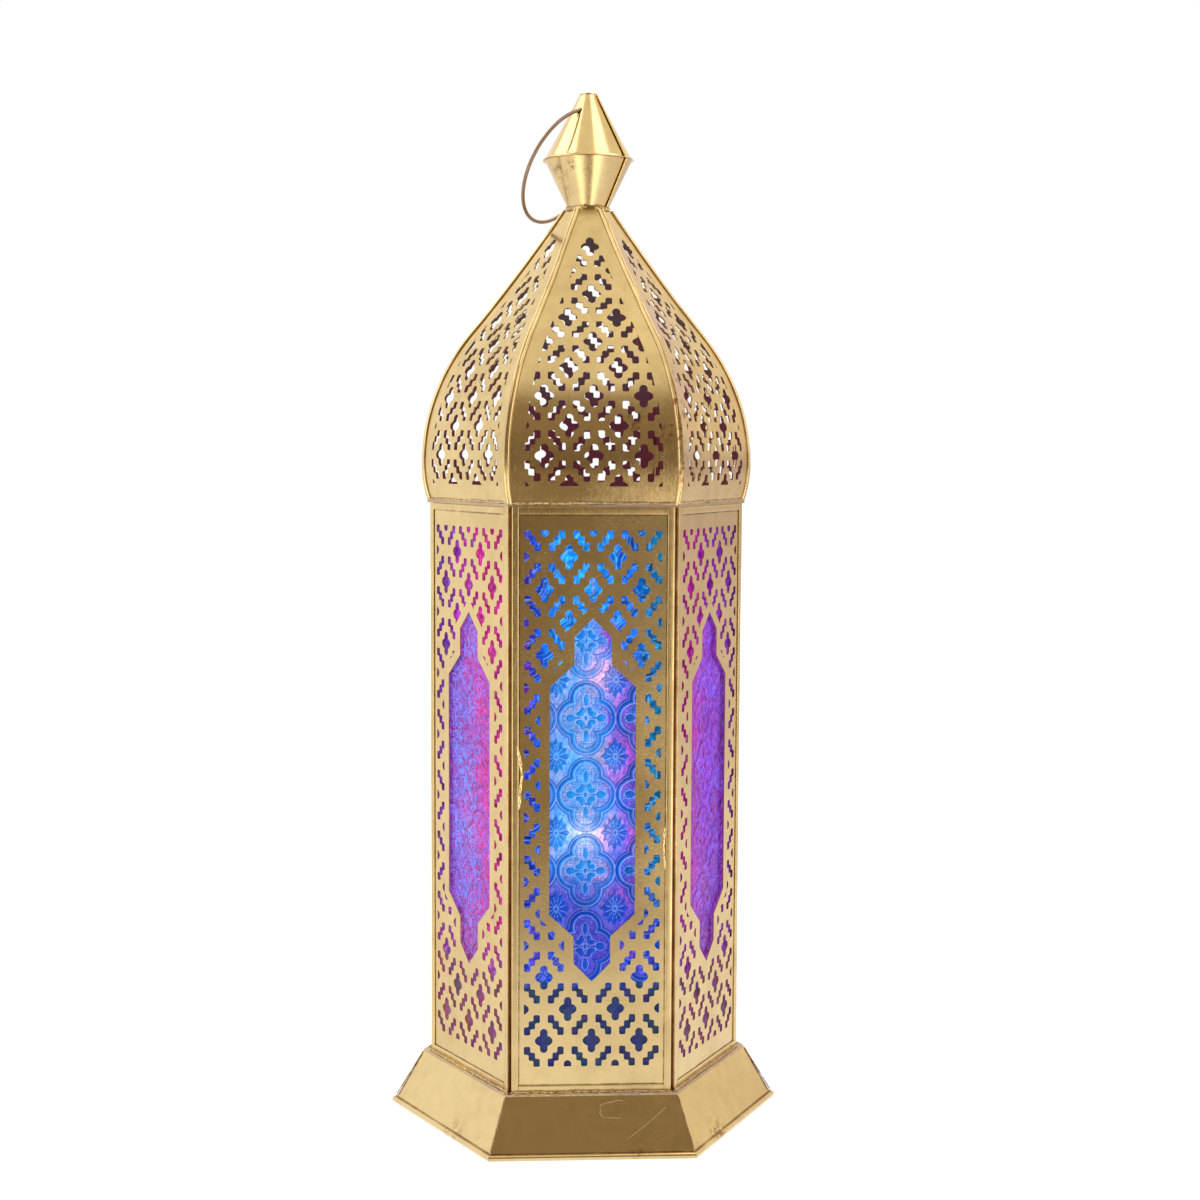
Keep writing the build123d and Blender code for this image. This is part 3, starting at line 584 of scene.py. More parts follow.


# Each pane's light. bands are the colours of its raised faces and pale those of its ground, at places across
# it. patches and spots are (across, height, half width, half height, colour), mixed in and added; the spots
# are painted hot spots of light. edge is the colour of its painted highlights along bright edges. fall gives
# the heights between which it sinks to the low colours, and foot is its dimmer colour below the window,
# painted shade. crisp, grain, fleck and ripple say how far the relief and its flecks show. shade is the side
# and width of the painted shade strip beside the window's edge. repeat is the pattern's scale and the middle
# of one medallion.
PANE_LIGHT = {
    "front": {
        "bands": ((-34, (0.01, 0.02, 0.36)), (-24, (0.006, 0.06, 0.6)), (-16, (0.008, 0.25, 0.86)),
                  (4, (0.01, 0.26, 0.88)), (13, (0.006, 0.12, 0.72)), (24, (0.004, 0.1, 0.36)),
                  (34, (0.003, 0.13, 0.24))),
        "pale": ((-20, (0.25, 0.42, 0.95)), (-4, (0.24, 0.42, 0.96)), (5, (0.34, 0.41, 0.95)),
                 (11, (0.3, 0.16, 0.82)), (22, (0.14, 0.07, 0.66))),
        "patches": ((18, 191, 4, 8, (0.46, 0.06, 0.62)), (10, 177, 5, 7, (0.52, 0.18, 0.76)),
                    (19, 148, 4, 7, (0.58, 0.09, 0.66)), (13, 119, 9, 6, (0.36, 0.09, 0.66)),
                    (15, 224, 6, 9, (0.3, 0.12, 0.76)), (6, 226, 5, 7, (0.95, 0.42, 0.84)),
                    (6, 149, 4, 6, (0.9, 0.46, 0.92)), (7, 243, 4, 6, (0.3, 0.1, 0.72)),
                    (-17, 203, 5, 12, (0.26, 0.42, 0.95)), (-14, 118, 10, 8, (0.13, 0.1, 0.68)),
                    (-31, 230, 3, 60, (0.2, 0.01, 0.4)), (0, 95, 9, 12, (0.17, 0.05, 0.66)),
                    (-20, 92, 8, 8, (0.2, 0.04, 0.52)), (18, 92, 7, 8, (0.3, 0.03, 0.52))),
        "spots": ((-3.5, 150, 5.5, 5.5, (0.85, 0.66, 0.45)), (-6, 149, 12, 9, (0.06, 0.12, 0.08)),
                  (2.5, 226, 5, 8, (0.46, 0.2, 0.12)), (-6, 185, 9, 30, (0.01, 0.08, 0.05)),
                  (-3, 186.5, 5, 4, (0.16, 0.1, 0.05)), (-3, 222, 5, 5, (0.2, 0.1, 0.06))),
        "edge": (0.34, 0.7, 1.12), "fall": (140, 108), "low": ((0.003, 0.045, 0.54), (0.085, 0.07, 0.64)),
        "foot": (0.03, 0.042, 0.088), "crisp": 1.0, "grain": 0.12, "fleck": (0.8, 0.2, 0.05),
        "ripple": 0.1, "shade": (1, 0.0), "repeat": (1.0, -3.0, 168.0),
    },
    "front_left": {
        "bands": ((-34, (0.15, 0.035, 0.34)), (-18, (0.3, 0.034, 0.46)), (-4, (0.46, 0.034, 0.4)),
                  (4, (0.58, 0.034, 0.36)), (13, (0.68, 0.03, 0.3)), (22, (0.56, 0.018, 0.27)),
                  (34, (0.48, 0.012, 0.24))),
        "pale": ((-20, (0.23, 0.2, 0.92)), (-4, (0.22, 0.23, 0.97)), (4, (0.28, 0.19, 0.88)),
                 (11, (0.44, 0.13, 0.76)), (20, (0.48, 0.12, 0.7))),
        "patches": ((-10, 205, 6, 14, (0.22, 0.19, 0.86)), (-8, 120, 7, 12, (0.2, 0.17, 0.82)),
                    (12, 165, 6, 16, (0.64, 0.06, 0.48)), (8, 225, 7, 10, (0.56, 0.09, 0.6)),
                    (-28, 270, 8, 25, (0.16, 0.04, 0.34)), (26, 285, 8, 20, (0.56, 0.02, 0.22))),
        "spots": ((-5, 152, 9, 20, (0.05, 0.06, 0.1)),),
        "edge": (0.66, 0.42, 0.98), "fall": (112, 84), "low": ((0.34, 0.04, 0.28), (0.36, 0.11, 0.46)),
        "foot": (0.26, 0.085, 0.17), "crisp": 0.8, "grain": 0.85, "fleck": (0.2, -0.24, -0.2),
        "ripple": 0.35, "shade": (-1, 0.5), "repeat": (0.9, 6.8, 206.0),
    },
    "front_right": {
        "bands": ((-34, (0.26, 0.006, 0.16)), (-20, (0.42, 0.012, 0.26)), (-10, (0.38, 0.018, 0.36)),
                  (4, (0.26, 0.012, 0.4)), (13, (0.27, 0.03, 0.42)), (22, (0.22, 0.03, 0.38)),
                  (34, (0.12, 0.02, 0.22))),
        "pale": ((-20, (0.35, 0.085, 0.44)), (-8, (0.31, 0.075, 0.66)), (6, (0.25, 0.07, 0.82)),
                 (20, (0.26, 0.09, 0.74))),
        "patches": ((-14, 200, 5, 20, (0.46, 0.04, 0.46)), (-13, 130, 5, 16, (0.44, 0.05, 0.42)),
                    (2, 170, 6, 25, (0.32, 0.05, 0.78)), (0, 118, 7, 12, (0.32, 0.09, 0.48))),
        "spots": ((-5, 168, 7, 50, (0.03, 0.01, 0.04)),),
        "edge": (0.5, 0.14, 0.95), "fall": (118, 84), "low": ((0.22, 0.028, 0.28), (0.28, 0.07, 0.42)),
        "foot": (0.2, 0.065, 0.17), "crisp": 0.7, "grain": 0.85, "fleck": (0.14, -0.34, -0.26),
        "ripple": 0.35, "shade": (1, 2.4), "repeat": (0.9, -1.0, 206.0),
    },
    "rear_right": {
        "bands": ((-34, (0.003, 0.12, 0.3)), (0, (0.005, 0.26, 0.46)), (34, (0.008, 0.16, 0.46))),
        "pale": ((-20, (0.14, 0.46, 0.66)), (4, (0.18, 0.56, 0.72)), (20, (0.12, 0.4, 0.7))),
        "patches": ((-14, 200, 7, 16, (0.1, 0.3, 0.72)), (12, 130, 8, 14, (0.06, 0.46, 0.52))),
        "spots": ((2, 150, 6, 7, (0.45, 0.4, 0.3)), (-4, 215, 7, 12, (0.12, 0.22, 0.2))),
        "edge": (0.62, 0.95, 0.98), "fall": (130, 100), "low": ((0.006, 0.09, 0.3), (0.05, 0.24, 0.44)),
        "foot": (0.015, 0.085, 0.11), "crisp": 0.9, "grain": 0.25, "fleck": (0.45, 0.25, 0.1),
        "ripple": 0.2, "shade": (1, 0.0), "repeat": (1.0, 4.0, 176.0),
    },
    "rear": {
        "bands": ((-34, (0.035, 0.03, 0.4)), (0, (0.03, 0.075, 0.7)), (34, (0.11, 0.03, 0.52))),
        "pale": ((-20, (0.24, 0.28, 0.84)), (4, (0.34, 0.32, 0.88)), (20, (0.4, 0.2, 0.78))),
        "patches": ((13, 190, 7, 14, (0.44, 0.1, 0.66)), (-14, 215, 7, 12, (0.16, 0.26, 0.84))),
        "spots": ((0, 150, 6, 6, (0.55, 0.5, 0.4)), (4, 222, 6, 8, (0.2, 0.16, 0.2))),
        "edge": (0.74, 0.76, 1.0), "fall": (134, 100), "low": ((0.02, 0.02, 0.42), (0.16, 0.09, 0.6)),
        "foot": (0.04, 0.035, 0.13), "crisp": 0.95, "grain": 0.2, "fleck": (0.45, 0.25, 0.1),
        "ripple": 0.15, "shade": (1, 0.0), "repeat": (1.0, 2.0, 160.0),
    },
    "rear_left": {
        "bands": ((-34, (0.5, 0.012, 0.26)), (0, (0.58, 0.03, 0.34)), (34, (0.32, 0.02, 0.44))),
        "pale": ((-20, (0.74, 0.16, 0.5)), (4, (0.78, 0.22, 0.6)), (20, (0.5, 0.16, 0.68))),
        "patches": ((14, 200, 7, 16, (0.44, 0.08, 0.66)), (-12, 125, 8, 14, (0.76, 0.05, 0.34))),
        "spots": ((-2, 150, 6, 7, (0.3, 0.4, 0.3)), (6, 220, 6, 10, (0.15, 0.12, 0.15))),
        "edge": (0.98, 0.66, 0.9), "fall": (126, 96), "low": ((0.26, 0.015, 0.28), (0.42, 0.08, 0.42)),
        "foot": (0.19, 0.03, 0.1), "crisp": 0.9, "grain": 0.25, "fleck": (0.45, 0.25, 0.1), "ripple": 0.2,
        "shade": (1, 0.0), "repeat": (1.0, -6.0, 182.0),
    },
}
# The window's half width at heights above and below its middle
WINDOW = ((0.0, 20.0), (53.6, 20.0), (64.1, 8.6), (76.8, 8.6), (85.6, 0.0))
WINDOW_MIDDLE = 165.25


def window_half(z):
    """Half width of the window at a height: straight lines between its corners, 0 above and below it."""
    rise, half = np.array(WINDOW).T
    return np.interp(np.abs(z - WINDOW_MIDDLE), rise, half)


def blend(base, tint, share):
    """Colours part of the way from base to tint."""
    return base + (np.asarray(tint) - base) * share[..., None]


def pane_glow(t, z, shares, slope_t, slope_z, light, bend, seed):
    """Colour of the light that leaves the pane. The ground and the raised faces each take colours blended
    across the pane, then patches and painted hot spots of light, and sink to deeper colours going down. Each
    bump gathers light as a lens does, so its slope shifts where the glow is looked up and shades it from one
    side to the other. Edges of the relief get painted highlights and painted shade, the strip beside the
    window's edge gets painted shade, and the foot is dimmed as painted shade."""
    raised, bright, dark, ripple = shares
    t2 = t + bend * np.tanh(0.8 * slope_t)
    z2 = z + bend * np.tanh(0.8 * slope_z)
    sway = 2.5 * mottling(t2, z2, seed + 5)

    def across(key):
        """The colours of that key, blended from place to place across the pane."""
        stops, shades = (np.array(column) for column in zip(*light[key]))
        return np.stack([np.interp(t2 + sway, stops, shades[:, c]) for c in range(3)], axis=-1)

    inside = step(np.abs(t) - window_half(z), 1.5, -0.5)
    uneven = np.clip(0.85 + 0.45 * mottling(t2 * 0.9, z2 * 0.9, seed), 0.25, 1.2)
    deep = across("bands")
    clear = 0.85 - light["grain"]
    pale = blend((1 + clear) * deep + clear * np.array((0.0, 0.06, 0.08)), across("pale"), inside * uneven)
    for place, up, wide, tall, tint in light["patches"]:
        near = np.exp(-((t2 - place) / wide) ** 2 - ((z2 - up) / tall) ** 2)
        deep = blend(deep, tint, 0.22 * near)
        pale = blend(pale, tint, 0.9 * near)
    low = step(z2 + 0.25 * t2, *light["fall"])
    deep = blend(deep, light["low"][0], 0.85 * low)
    pale = blend(pale, light["low"][1], 0.85 * low)
    fine = np.tanh(0.7 * speckle(t.shape, seed + 21) + 0.8 * mottling(t * 10, z * 7, seed + 23))
    glow = blend(pale, deep, np.clip((1 - 0.35 * light["grain"]) * raised + light["grain"] * fine, 0, 1))
    # Spots add painted hot spots of light
    for place, up, wide, tall, tint in light["spots"]:
        near = np.exp(-((t - place) / wide) ** 2 - ((z - up) / tall) ** 2) * (1 - 0.45 * raised)
        glow = glow + np.array(tint) * near[..., None]
    glow = glow * np.exp(fine[..., None] * np.array(light["fleck"]))
    # Painted shading by slope, lighter on one side of each bump
    lean = np.tanh(0.55 * (slope_t - 0.7 * slope_z))
    steep = np.tanh(0.35 * (slope_t ** 2 + slope_z ** 2))
    crisp = light["crisp"] * (0.85 + 0.15 * inside)
    uneven = 1 + 0.10 * mottling(t * 3, z * 3, seed + 3) + 0.10 * mottling(t * 8, z * 8, seed + 4)
    uneven = uneven + (0.03 + 0.10 * light["grain"]) * speckle(t.shape, seed + 22)
    shade = (1 - crisp * (0.18 * steep + (0.75 - 0.23 * inside) * lean)) * uneven
    shade = shade * np.exp(0.55 * (1 - inside) * mottling(t * 4, z * 4, seed + 41))
    glow = glow * shade[..., None]
    ripple = ripple * (light["ripple"] + 0.45 * (1 - inside))
    bright = np.maximum(bright, np.clip(ripple, 0, 1))
    dark = np.maximum(dark, np.clip(-ripple, 0, 1))
    broken = np.clip(1 - 0.8 * light["grain"] * (0.5 - fine), 0, 1)
    # Painted highlights along the bright edges and painted shade along the dark ones
    edge = 0.28 * pale + 0.80 * np.array(light["edge"])
    glow = blend(glow, edge, crisp * (0.95 - 0.25 * low) * bright * broken)
    glow = blend(glow, deep * np.array((0.20, 0.30, 0.66)), 0.97 * crisp * dark * broken)
    # Painted shade on the strip beside the window's edge
    way, wide = light["shade"]
    strip = step(way * t - window_half(z) + wide, -0.6, 0.6) * inside * (wide > 0)
    glow = glow * (1 - 0.36 * strip)[..., None]
    # The foot below the window is dimmed: painted shade where no light reaches the glass from inside
    foot = step(z + 0.6 * mottling(t, z, seed + 9), 81, 75)
    uneven = 1 + 0.45 * np.stack([mottling(t * 1.5, z * 1.5, seed + 13 + 20 * c) for c in range(3)], axis=-1)
    glow = blend(glow, np.array(light["foot"]) * uneven, 0.9 * foot)
    return np.clip(glow, 0, 1.3)


def pane_lines(edge, fine_edge, coarse, fine):
    """Grid lines from -edge to edge, fine inside fine_edge and coarse outside it."""
    inner = np.linspace(-fine_edge, fine_edge, 2 * round(fine_edge / fine) + 1)
    outer = np.linspace(fine_edge, edge, round((edge - fine_edge) / coarse) + 1)[1:]
    return np.concatenate([-outer[::-1], inner, outer])


def every_fourth(count):
    """Numbers of every fourth line out of count, and of the last."""
    return np.unique([*range(0, count, 4), count - 1])


def softened(colours):
    """Colours averaged over five lines each way."""
    for axis in (0, 1):
        wide = np.pad(colours, [(2, 2) if axis == a else (0, 0) for a in range(3)], mode="edge")
        length = colours.shape[axis]
        colours = sum(np.take(wide, np.arange(length) + shift, axis=axis) for shift in range(5)) / 5
    return colours


def rim_of(index):
    """The border of a grid of point numbers, once round."""
    return np.concatenate([index[0, :-1], index[:-1, -1], index[-1, :0:-1], index[:0:-1, 0]])


def pane_faces(rows, columns):
    """Faces of a closed pane, and the front points that have a back point behind them: a front grid, a back
    of every fourth row and column of it, and walls from each pair of points on the back's rim to the run of
    points on the front's rim."""
    front = np.arange(rows * columns).reshape(rows, columns)
    kept = front[np.ix_(every_fourth(rows), every_fourth(columns))]
    rim, back_rim = rim_of(front), rim_of(front.size + np.arange(kept.size).reshape(kept.shape))
    marks = np.flatnonzero(np.isin(rim, kept))
    walls = []
    for start, stop, back, next_back in zip(marks, [*marks[1:], len(rim)], back_rim, np.roll(back_rim, -1)):
        run = np.take(rim, np.arange(start, stop + 1), mode="wrap")
        walls.append([int(back), int(next_back), *run[::-1].tolist()])
    backs = grid_faces(*kept.shape)[:, ::-1] + front.size
    return [*grid_faces(rows, columns).tolist(), *walls, *backs.tolist()], kept.ravel()


def glass_material(name):
    """Dyed embossed glass: its light comes from the glow attribute, with small bubbles and streaks on top."""
    glass = bpy.context.scene.lantern_glass
    f = Finish(name)
    glow = f.node("ShaderNodeAttribute", {"attribute_name": "glow"}).outputs["Color"]
    streak = f.rise(f.noise(70, 4, 0.6, stretch=(1, 1, 0.35)), 0.3, 0.7)
    light = f.mix(1.0, glow, f.mix(streak, (0.80, 0.80, 0.80), (1.0, 1.0, 1.0)), "MULTIPLY")
    bubbles = f.times(f.noise(1300, 2, 0.5), 0.004)
    rough = f.rise(f.noise(40, 3), 0.3, 0.7, 0.10, 0.20)
    body = f.mix(1.0, glow, (0.22, 0.22, 0.22), "MULTIPLY")
    return f.set(Base_Color=body, Roughness=rough, IOR=1.5, Specular_IOR_Level=0.10, Emission_Color=light,
                 Emission_Strength=glass.glow, Normal=f.bump(bubbles))


class LANTERN_OT_glass_panes(Operator):
    """Builds the six dyed, embossed glass panes"""

    bl_idname = "lantern.glass_panes"
    bl_label = "Glass Panes"

    def execute(self, context):
        glass = context.scene.lantern_glass
        width, height = glass.repeat_width / MM, glass.repeat_height / MM
        coarse, fine = 0.8, 0.365
        centre, rise, fine_half, fine_rise = 165.3, 134.3, 20.4, 86.7
        across = pane_lines(PANE_HALF, fine_half, coarse, fine)
        up = np.clip(pane_lines(rise, fine_rise, coarse, fine) + centre, PANE_FOOT, PANE_HEAD)
        up = up[np.concatenate([[True], np.diff(up) > 1e-6])]
        t, z = np.meshgrid(across, up)
        faces, kept = pane_faces(*t.shape)
        for number, side in enumerate(SIDES):
            light = PANE_LIGHT[side]
            scale, *middle = light["repeat"]
            relief, *shares = embossing(t, z, scale * width, scale * height, middle)
            slope_z, slope_t = np.gradient(relief, up, across)
            colours = pane_glow(t, z, shares, slope_t, slope_z, light, glass.bend / MM, 11 + number)
            front = on_side(side, PANE_DEPTH[0] + glass.relief / MM * (1 - relief), t, z).reshape(-1, 3)
            back = on_side(side, np.full(kept.size, PANE_DEPTH[1]), t.ravel()[kept], z.ravel()[kept])
            colours = np.concatenate([colours.reshape(-1, 3), softened(colours).reshape(-1, 3)[kept]])
            body = "door" if side == "rear" else "lantern"
            node = "door_glass" if side == "rear" else "glass_" + side
            piece = mesh_piece("embossed_glass_" + side, np.concatenate([front, back]), faces, body,
                               glass_material("dyed_glass_" + side), "glass_" + side, colours=colours)
            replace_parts(piece, node)
        return {"FINISHED"}


class LANTERN_OT_brass(Operator):
    """Gives the metal pieces their finishes"""

    bl_idname = "lantern.brass"
    bl_label = "Brass Finishes"

    def execute(self, context):
        look = context.scene.lantern_brass
        loop = ((4.2, -72.0, 22.2), (12.7, -71.1, 24.0), (14.7, -71.3, 23.6))
        turn = ((4.2, -72.0, 22.2), (3.8, -73.9, 18.4), (5.6, -74.8, 16.8), (13.1, -74.8, 16.7))
        long = ((16.6, -79.1, 8.2), (25.7, -76.1, 14.1), (34.9, -72.7, 20.9))
        scores = [pair for line in (loop, turn, long) for pair in zip(line[:-1], line[1:])]
        base = {"brush": (1, 1, 6), "hem": 2.75}
        skirt = brass("skirt_brass", 1.0, 0.22, 0.15, smooth=0.13, dull=0.24, wave=0.10,
                      stains=(((62, -58, 2), 12, 0.7), ((-66, -52, 2), 12, 0.5)), **base)
        front = brass("skirt_brass_front", 0.97, 0.30, 0.15, smooth=0.15, dull=0.27, wave=0.12,
                      scratches=scores, stains=(((22, -83.5, 1.5), 9, 0.45), ((44, -83, 2), 7, 0.4)), **base)
        sheet = {"brush": (3, 3, 1), "wave": 0.09, "smooth": 0.14, "dull": 0.30, "lining": True}
        spots = (((62, -40, 345), 10, 0.5), ((58, -33, 365), 8, 0.4))
        dome = brass("dome_brass", 1.0, 0.34, 0.6, cuts=(((-4.8, -67.4, 310.8), (-4.8, -67.6, 315.4)),),
                     stains=(((18.4, -69.3, 342.5), 9, 0.75), ((34, -69.3, 338), 9, 0.8),
                             ((27, -63, 378), 8, 0.45), ((-13, -55, 394), 9, 0.4), *spots), **sheet)
        pink = brass("dome_brass_pink", 1.0, 0.34, 0.6,
                     blush=(((18, -24, 420), 26, 0.9), ((27, -39, 388), 27, 0.95), ((37, -55, 356), 24, 0.9),
                            ((40, -62, 330), 16, 0.6)),
                     stains=(((36, -57, 362), 9, 0.8), ((38.5, -61, 345), 10, 0.9), ((39, -63, 330), 9, 0.8),
                             *spots), **sheet)
        joint = brass("soldered_brass", 0.85, 0.5, 0.3, film=look.solder, film_share=0.85, smooth=0.28,
                      dull=0.48)
        neck = brass("neck_brass", 0.95, 0.5, 0.5, film=(0.30, 0.17, 0.075), film_share=0.6, smooth=0.2,
                     dull=0.36)
        fitting = brass("fitting_brass", 0.95, 0.45, 0.4)
        # The corner strips are taken nearly to black: partly their brown film, partly painted shade in the
        # recessed grooves
        strip = brass("groove_brass", 0.07, 0.0, 0.3, film=look.groove, film_share=0.8, smooth=0.30, dull=0.5)
        wire = brass("ring_wire", 0.5, 0.9, 0.4, film=look.wire, film_share=1.0, smooth=0.28, dull=0.45)
        for material, starts in (
            (skirt, ("skirt_",)), (dome, ("petal_", "rib_")), (joint, ("floor_plate", "ring_plate")),
            (neck, ("neck_disc",)), (strip, ("corner_strip_",)), (wire, ("hanging_ring",)),
            (fitting, ("hinge_", "door_knob", "catch_leaf", "glass_clips", "door_glass_clips", "candle_cup",
                       "finial_cap")),
        ):
            for node in named(*starts):
                dress(node, material)
        dress("skirt_front", front)
        dress("petal_front_right", pink)
        for number, side in enumerate(SIDES):
            node = "door_grille" if side == "rear" else "grille_" + side
            dress(node, brass("grille_brass_" + side, 1.0, 0.24, 0.3, brush=(1, 1, 5), smooth=0.16, dull=0.29,
                              wave=0.09, side=side, shift=1.7 * number))
        return {"FINISHED"}


class LANTERN_OT_bars(Operator):
    """Builds the panel frames' folded bars"""

    bl_idname = "lantern.bars"
    bl_label = "Frame Bars"

    def profile(self, width, round_by, depth):
        """Section of a channel bar, as (across from its outer edge, depth from its face): a face with rounded
        folds at both edges, the inner one tighter, and a slot for the sheet on its inner side."""
        quarter = np.linspace(0, math.pi / 2, 6)
        tight = 0.6 * round_by
        outer = np.stack([round_by * (1 - np.cos(quarter)), round_by * (1 - np.sin(quarter))], axis=1)
        crown = np.stack([np.linspace(round_by, width - tight, 5)[1:-1], np.full(3, -0.03)], axis=1)
        inner = np.stack([width - tight * (1 - np.sin(quarter)), tight * (1 - np.cos(quarter))], axis=1)
        slot = [(width, 0.57), (0.6, 0.57), (0.6, 1.33), (width, 1.33), (width, depth), (0, depth)]
        return np.concatenate([outer, crown, inner, slot])

    def execute(self, context):
        trim = context.scene.lantern_trim
        width, round_by = trim.bar_width / MM, trim.bar_round / MM
        along = np.linspace(0, 1, 25)
        for number, side in enumerate(SIDES):
            node = "door_frame" if side == "rear" else "frame_" + side
            low, high = (corner.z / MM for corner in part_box(node))
            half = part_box(node)[1].x / MM if side == "rear" else PANEL_HALF
            section = self.profile(width, round_by, 1.8 if side == "rear" else 2.1)
            inset, depth = section[:, 0], section[:, 1]
            face = depth < 0.3
            bars = []
            for sign in (-1, 1):
                bow = 0.05 * wander(along * (high - low), 20 * number + 2 + sign, 90)
                t = sign * (half - inset)[None, :] + 0 * along[:, None]
                z = (low + (high - low) * along)[:, None] + 0 * t
                bars.append((depth[None, :] + bow[:, None] * face, t, z))
                reach = half - width - 0.10
                t = (reach * (2 * along - 1))[:, None] + 0 * inset[None, :]
                z = (low + inset if sign < 0 else high - inset)[None, :] + 0 * t
                bow = 0.05 * wander(along * 2 * reach, 20 * number + 7 + sign, 60) + 0.04
                bars.append((depth[None, :] + bow[:, None] * face, t, z))
            points, faces = joined([loft(on_side(side, *bar)) for bar in bars])
            finish = brass("bar_brass_" + side, 1.0, 0.32, 0.25, brush=(4, 4, 0.5), wave=0.04, smooth=0.22,
                           dull=0.36, grime_and_shade=True, shift=2.3 * number)
            # Grime and painted shade on each bar's outer side, back from its face; the rails get less than the
            # stiles
            wall = np.clip((depth - 0.15) / 0.3, 0, 1) * (inset < 0.3)
            dirt_and_shade = np.concatenate([np.tile(wall * share, len(along)) for share in (1, 0.3, 1, 0.3)])
            body = "door" if side == "rear" else "lantern"
            piece = mesh_piece("panel_bars_" + side, points, faces, body, finish, "bar_brass",
                               colours=np.repeat(dirt_and_shade[:, None], 3, axis=1), layer="grime_and_shade")
            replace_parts(outward(piece), node)
        return {"FINISHED"}


class LANTERN_OT_finial(Operator):
    """Rolls the finial's two cones from sheet"""

    bl_idname = "lantern.finial"
    bl_label = "Finial Cones"

    def aside(self, angle, middle):
        """How far angles lie to either side of a middle one, up to half a turn."""
        return (angle - middle + math.pi) % (2 * math.pi) - math.pi

    def cone(self, name, node, profile, edge, lap, material, sheet, seed, crease=None, holes=()):
        """A sheet rolled into a cone: the (radius, height) profile turned about the axis from the free edge's
        angle round to just past it, where the sheet's start lies over its own end and stands off a little.
        The radius wavers round the turn and dips along a crease of (angle, height, depth, length) below a
        hole, and round holes of (angle, height, radius) are left open."""
        rows, columns, full = 90, 361, 2 * math.pi
        heights = np.linspace(0, 1, rows)
        knots = np.linspace(0, 1, len(profile))
        radius, height = (np.interp(heights, knots, column) for column in profile.T)
        turn = np.linspace(0, full + lap, columns)
        angle = edge + turn
        over = (sheet + 0.10) * step(turn, 0.55, 0.05) + 0.50 * step(turn, lap, 0.0)
        waver = 0.16 * wander(turn, seed, full / 3) * step(turn, 0.1, 0.6) * step(full - turn, 0.1, 0.6)
        r = radius[:, None] + over + waver * (radius / radius.max())[:, None]
        if crease is not None:
            fold_angle, fold_height, fold_depth, fold_length = crease
            away = np.abs(self.aside(angle, fold_angle))
            below = np.clip(fold_height - height, 0, None)[:, None]
            fold = -fold_depth * np.exp(-away / 0.08) * np.exp(-(below / fold_length) ** 2)
            r = r + fold * (height < fold_height)[:, None]
        z = height[:, None] + 0.18 * wander(angle * 20, seed + 3, 60) * (1 - heights[:, None]) ** 4
        ring = np.stack([r * np.cos(angle), r * np.sin(angle), z + 0 * r], axis=-1)
        faces = grid_faces(rows, columns)
        for hole_angle, hole_height, hole_radius in holes:
            side = self.aside(angle, hole_angle)
            gap = np.hypot(r * side, (z - hole_height) * 1.14)
            within = gap < hole_radius
            pull = np.where(within, hole_radius / np.maximum(gap, 1e-6), 1.0)
            moved_angle = angle + side * (pull - 1)
            moved_z = z + (z - hole_height) * (pull - 1)
            moved = np.stack([r * np.cos(moved_angle), r * np.sin(moved_angle), moved_z], axis=-1)
            ring = np.where(within[..., None], moved, ring)
            faces = faces[~within.ravel()[faces].all(axis=1)]
        used = np.unique(faces)
        renumber = np.full(rows * columns, -1)
        renumber[used] = np.arange(len(used))
        piece = mesh_piece(name, ring.reshape(-1, 3)[used], renumber[faces].tolist(), "lantern", material,
                           "finial_brass")
        wall = piece.modifiers.new("sheet", "SOLIDIFY")
        wall.thickness, wall.offset = sheet * MM, -1
        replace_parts(piece, node)

    def execute(self, context):
        sheet = context.scene.lantern_trim.sheet / MM
        finish = brass("finial_brass", 1.03, 0.26, 0.5, smooth=0.13, dull=0.22, wave=0.06)
        worn = brass("worn_finial_brass", 1.0, 0.36, 0.9, smooth=0.21, dull=0.32, wave=0.05,
                     brush=(3, 3, 0.4),
                     stains=(((-16, -12, 460), 8, 1.0), ((-14, -11, 455), 6, 1.0), ((-8, -17, 464), 5, 0.8),
                             ((-12, -9, 449), 5, 0.7), ((-3, -19, 461), 4, 0.6)))
        foot, rim, top, roll = 9.9, 21.3, 4.2, 0.75
        low, high = (corner.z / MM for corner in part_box("finial_lower_cone"))
        lower = np.array([(foot, low), (foot + (rim - foot) * 0.5, (low + high) / 2),
                          (rim - 0.2, high - 0.15)])
        self.cone("lower_cone", "finial_lower_cone", lower, math.radians(-36), 0.24, worn, sheet, 3)
        low, high = (corner.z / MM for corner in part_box("finial_upper_cone"))
        upper = [(rim + 1.0, low), (rim + 0.9, low + 0.35), (rim - 0.1, low + roll)]
        upper += [(rim - 0.1 + (top - rim + 0.1) * k, low + roll + (high - low - roll) * k)
                  for k in np.linspace(0, 1, 30)[1:]]
        holes = [(math.radians(RING_TURN + 180 * k), RING_PIVOT, 1.45) for k in (0, 1)]
        self.cone("upper_cone", "finial_upper_cone", np.array(upper), math.radians(-39), 0.22, finish, sheet,
                  5, crease=(holes[1][0], RING_PIVOT, 0.28, 6.0), holes=holes)
        return {"FINISHED"}


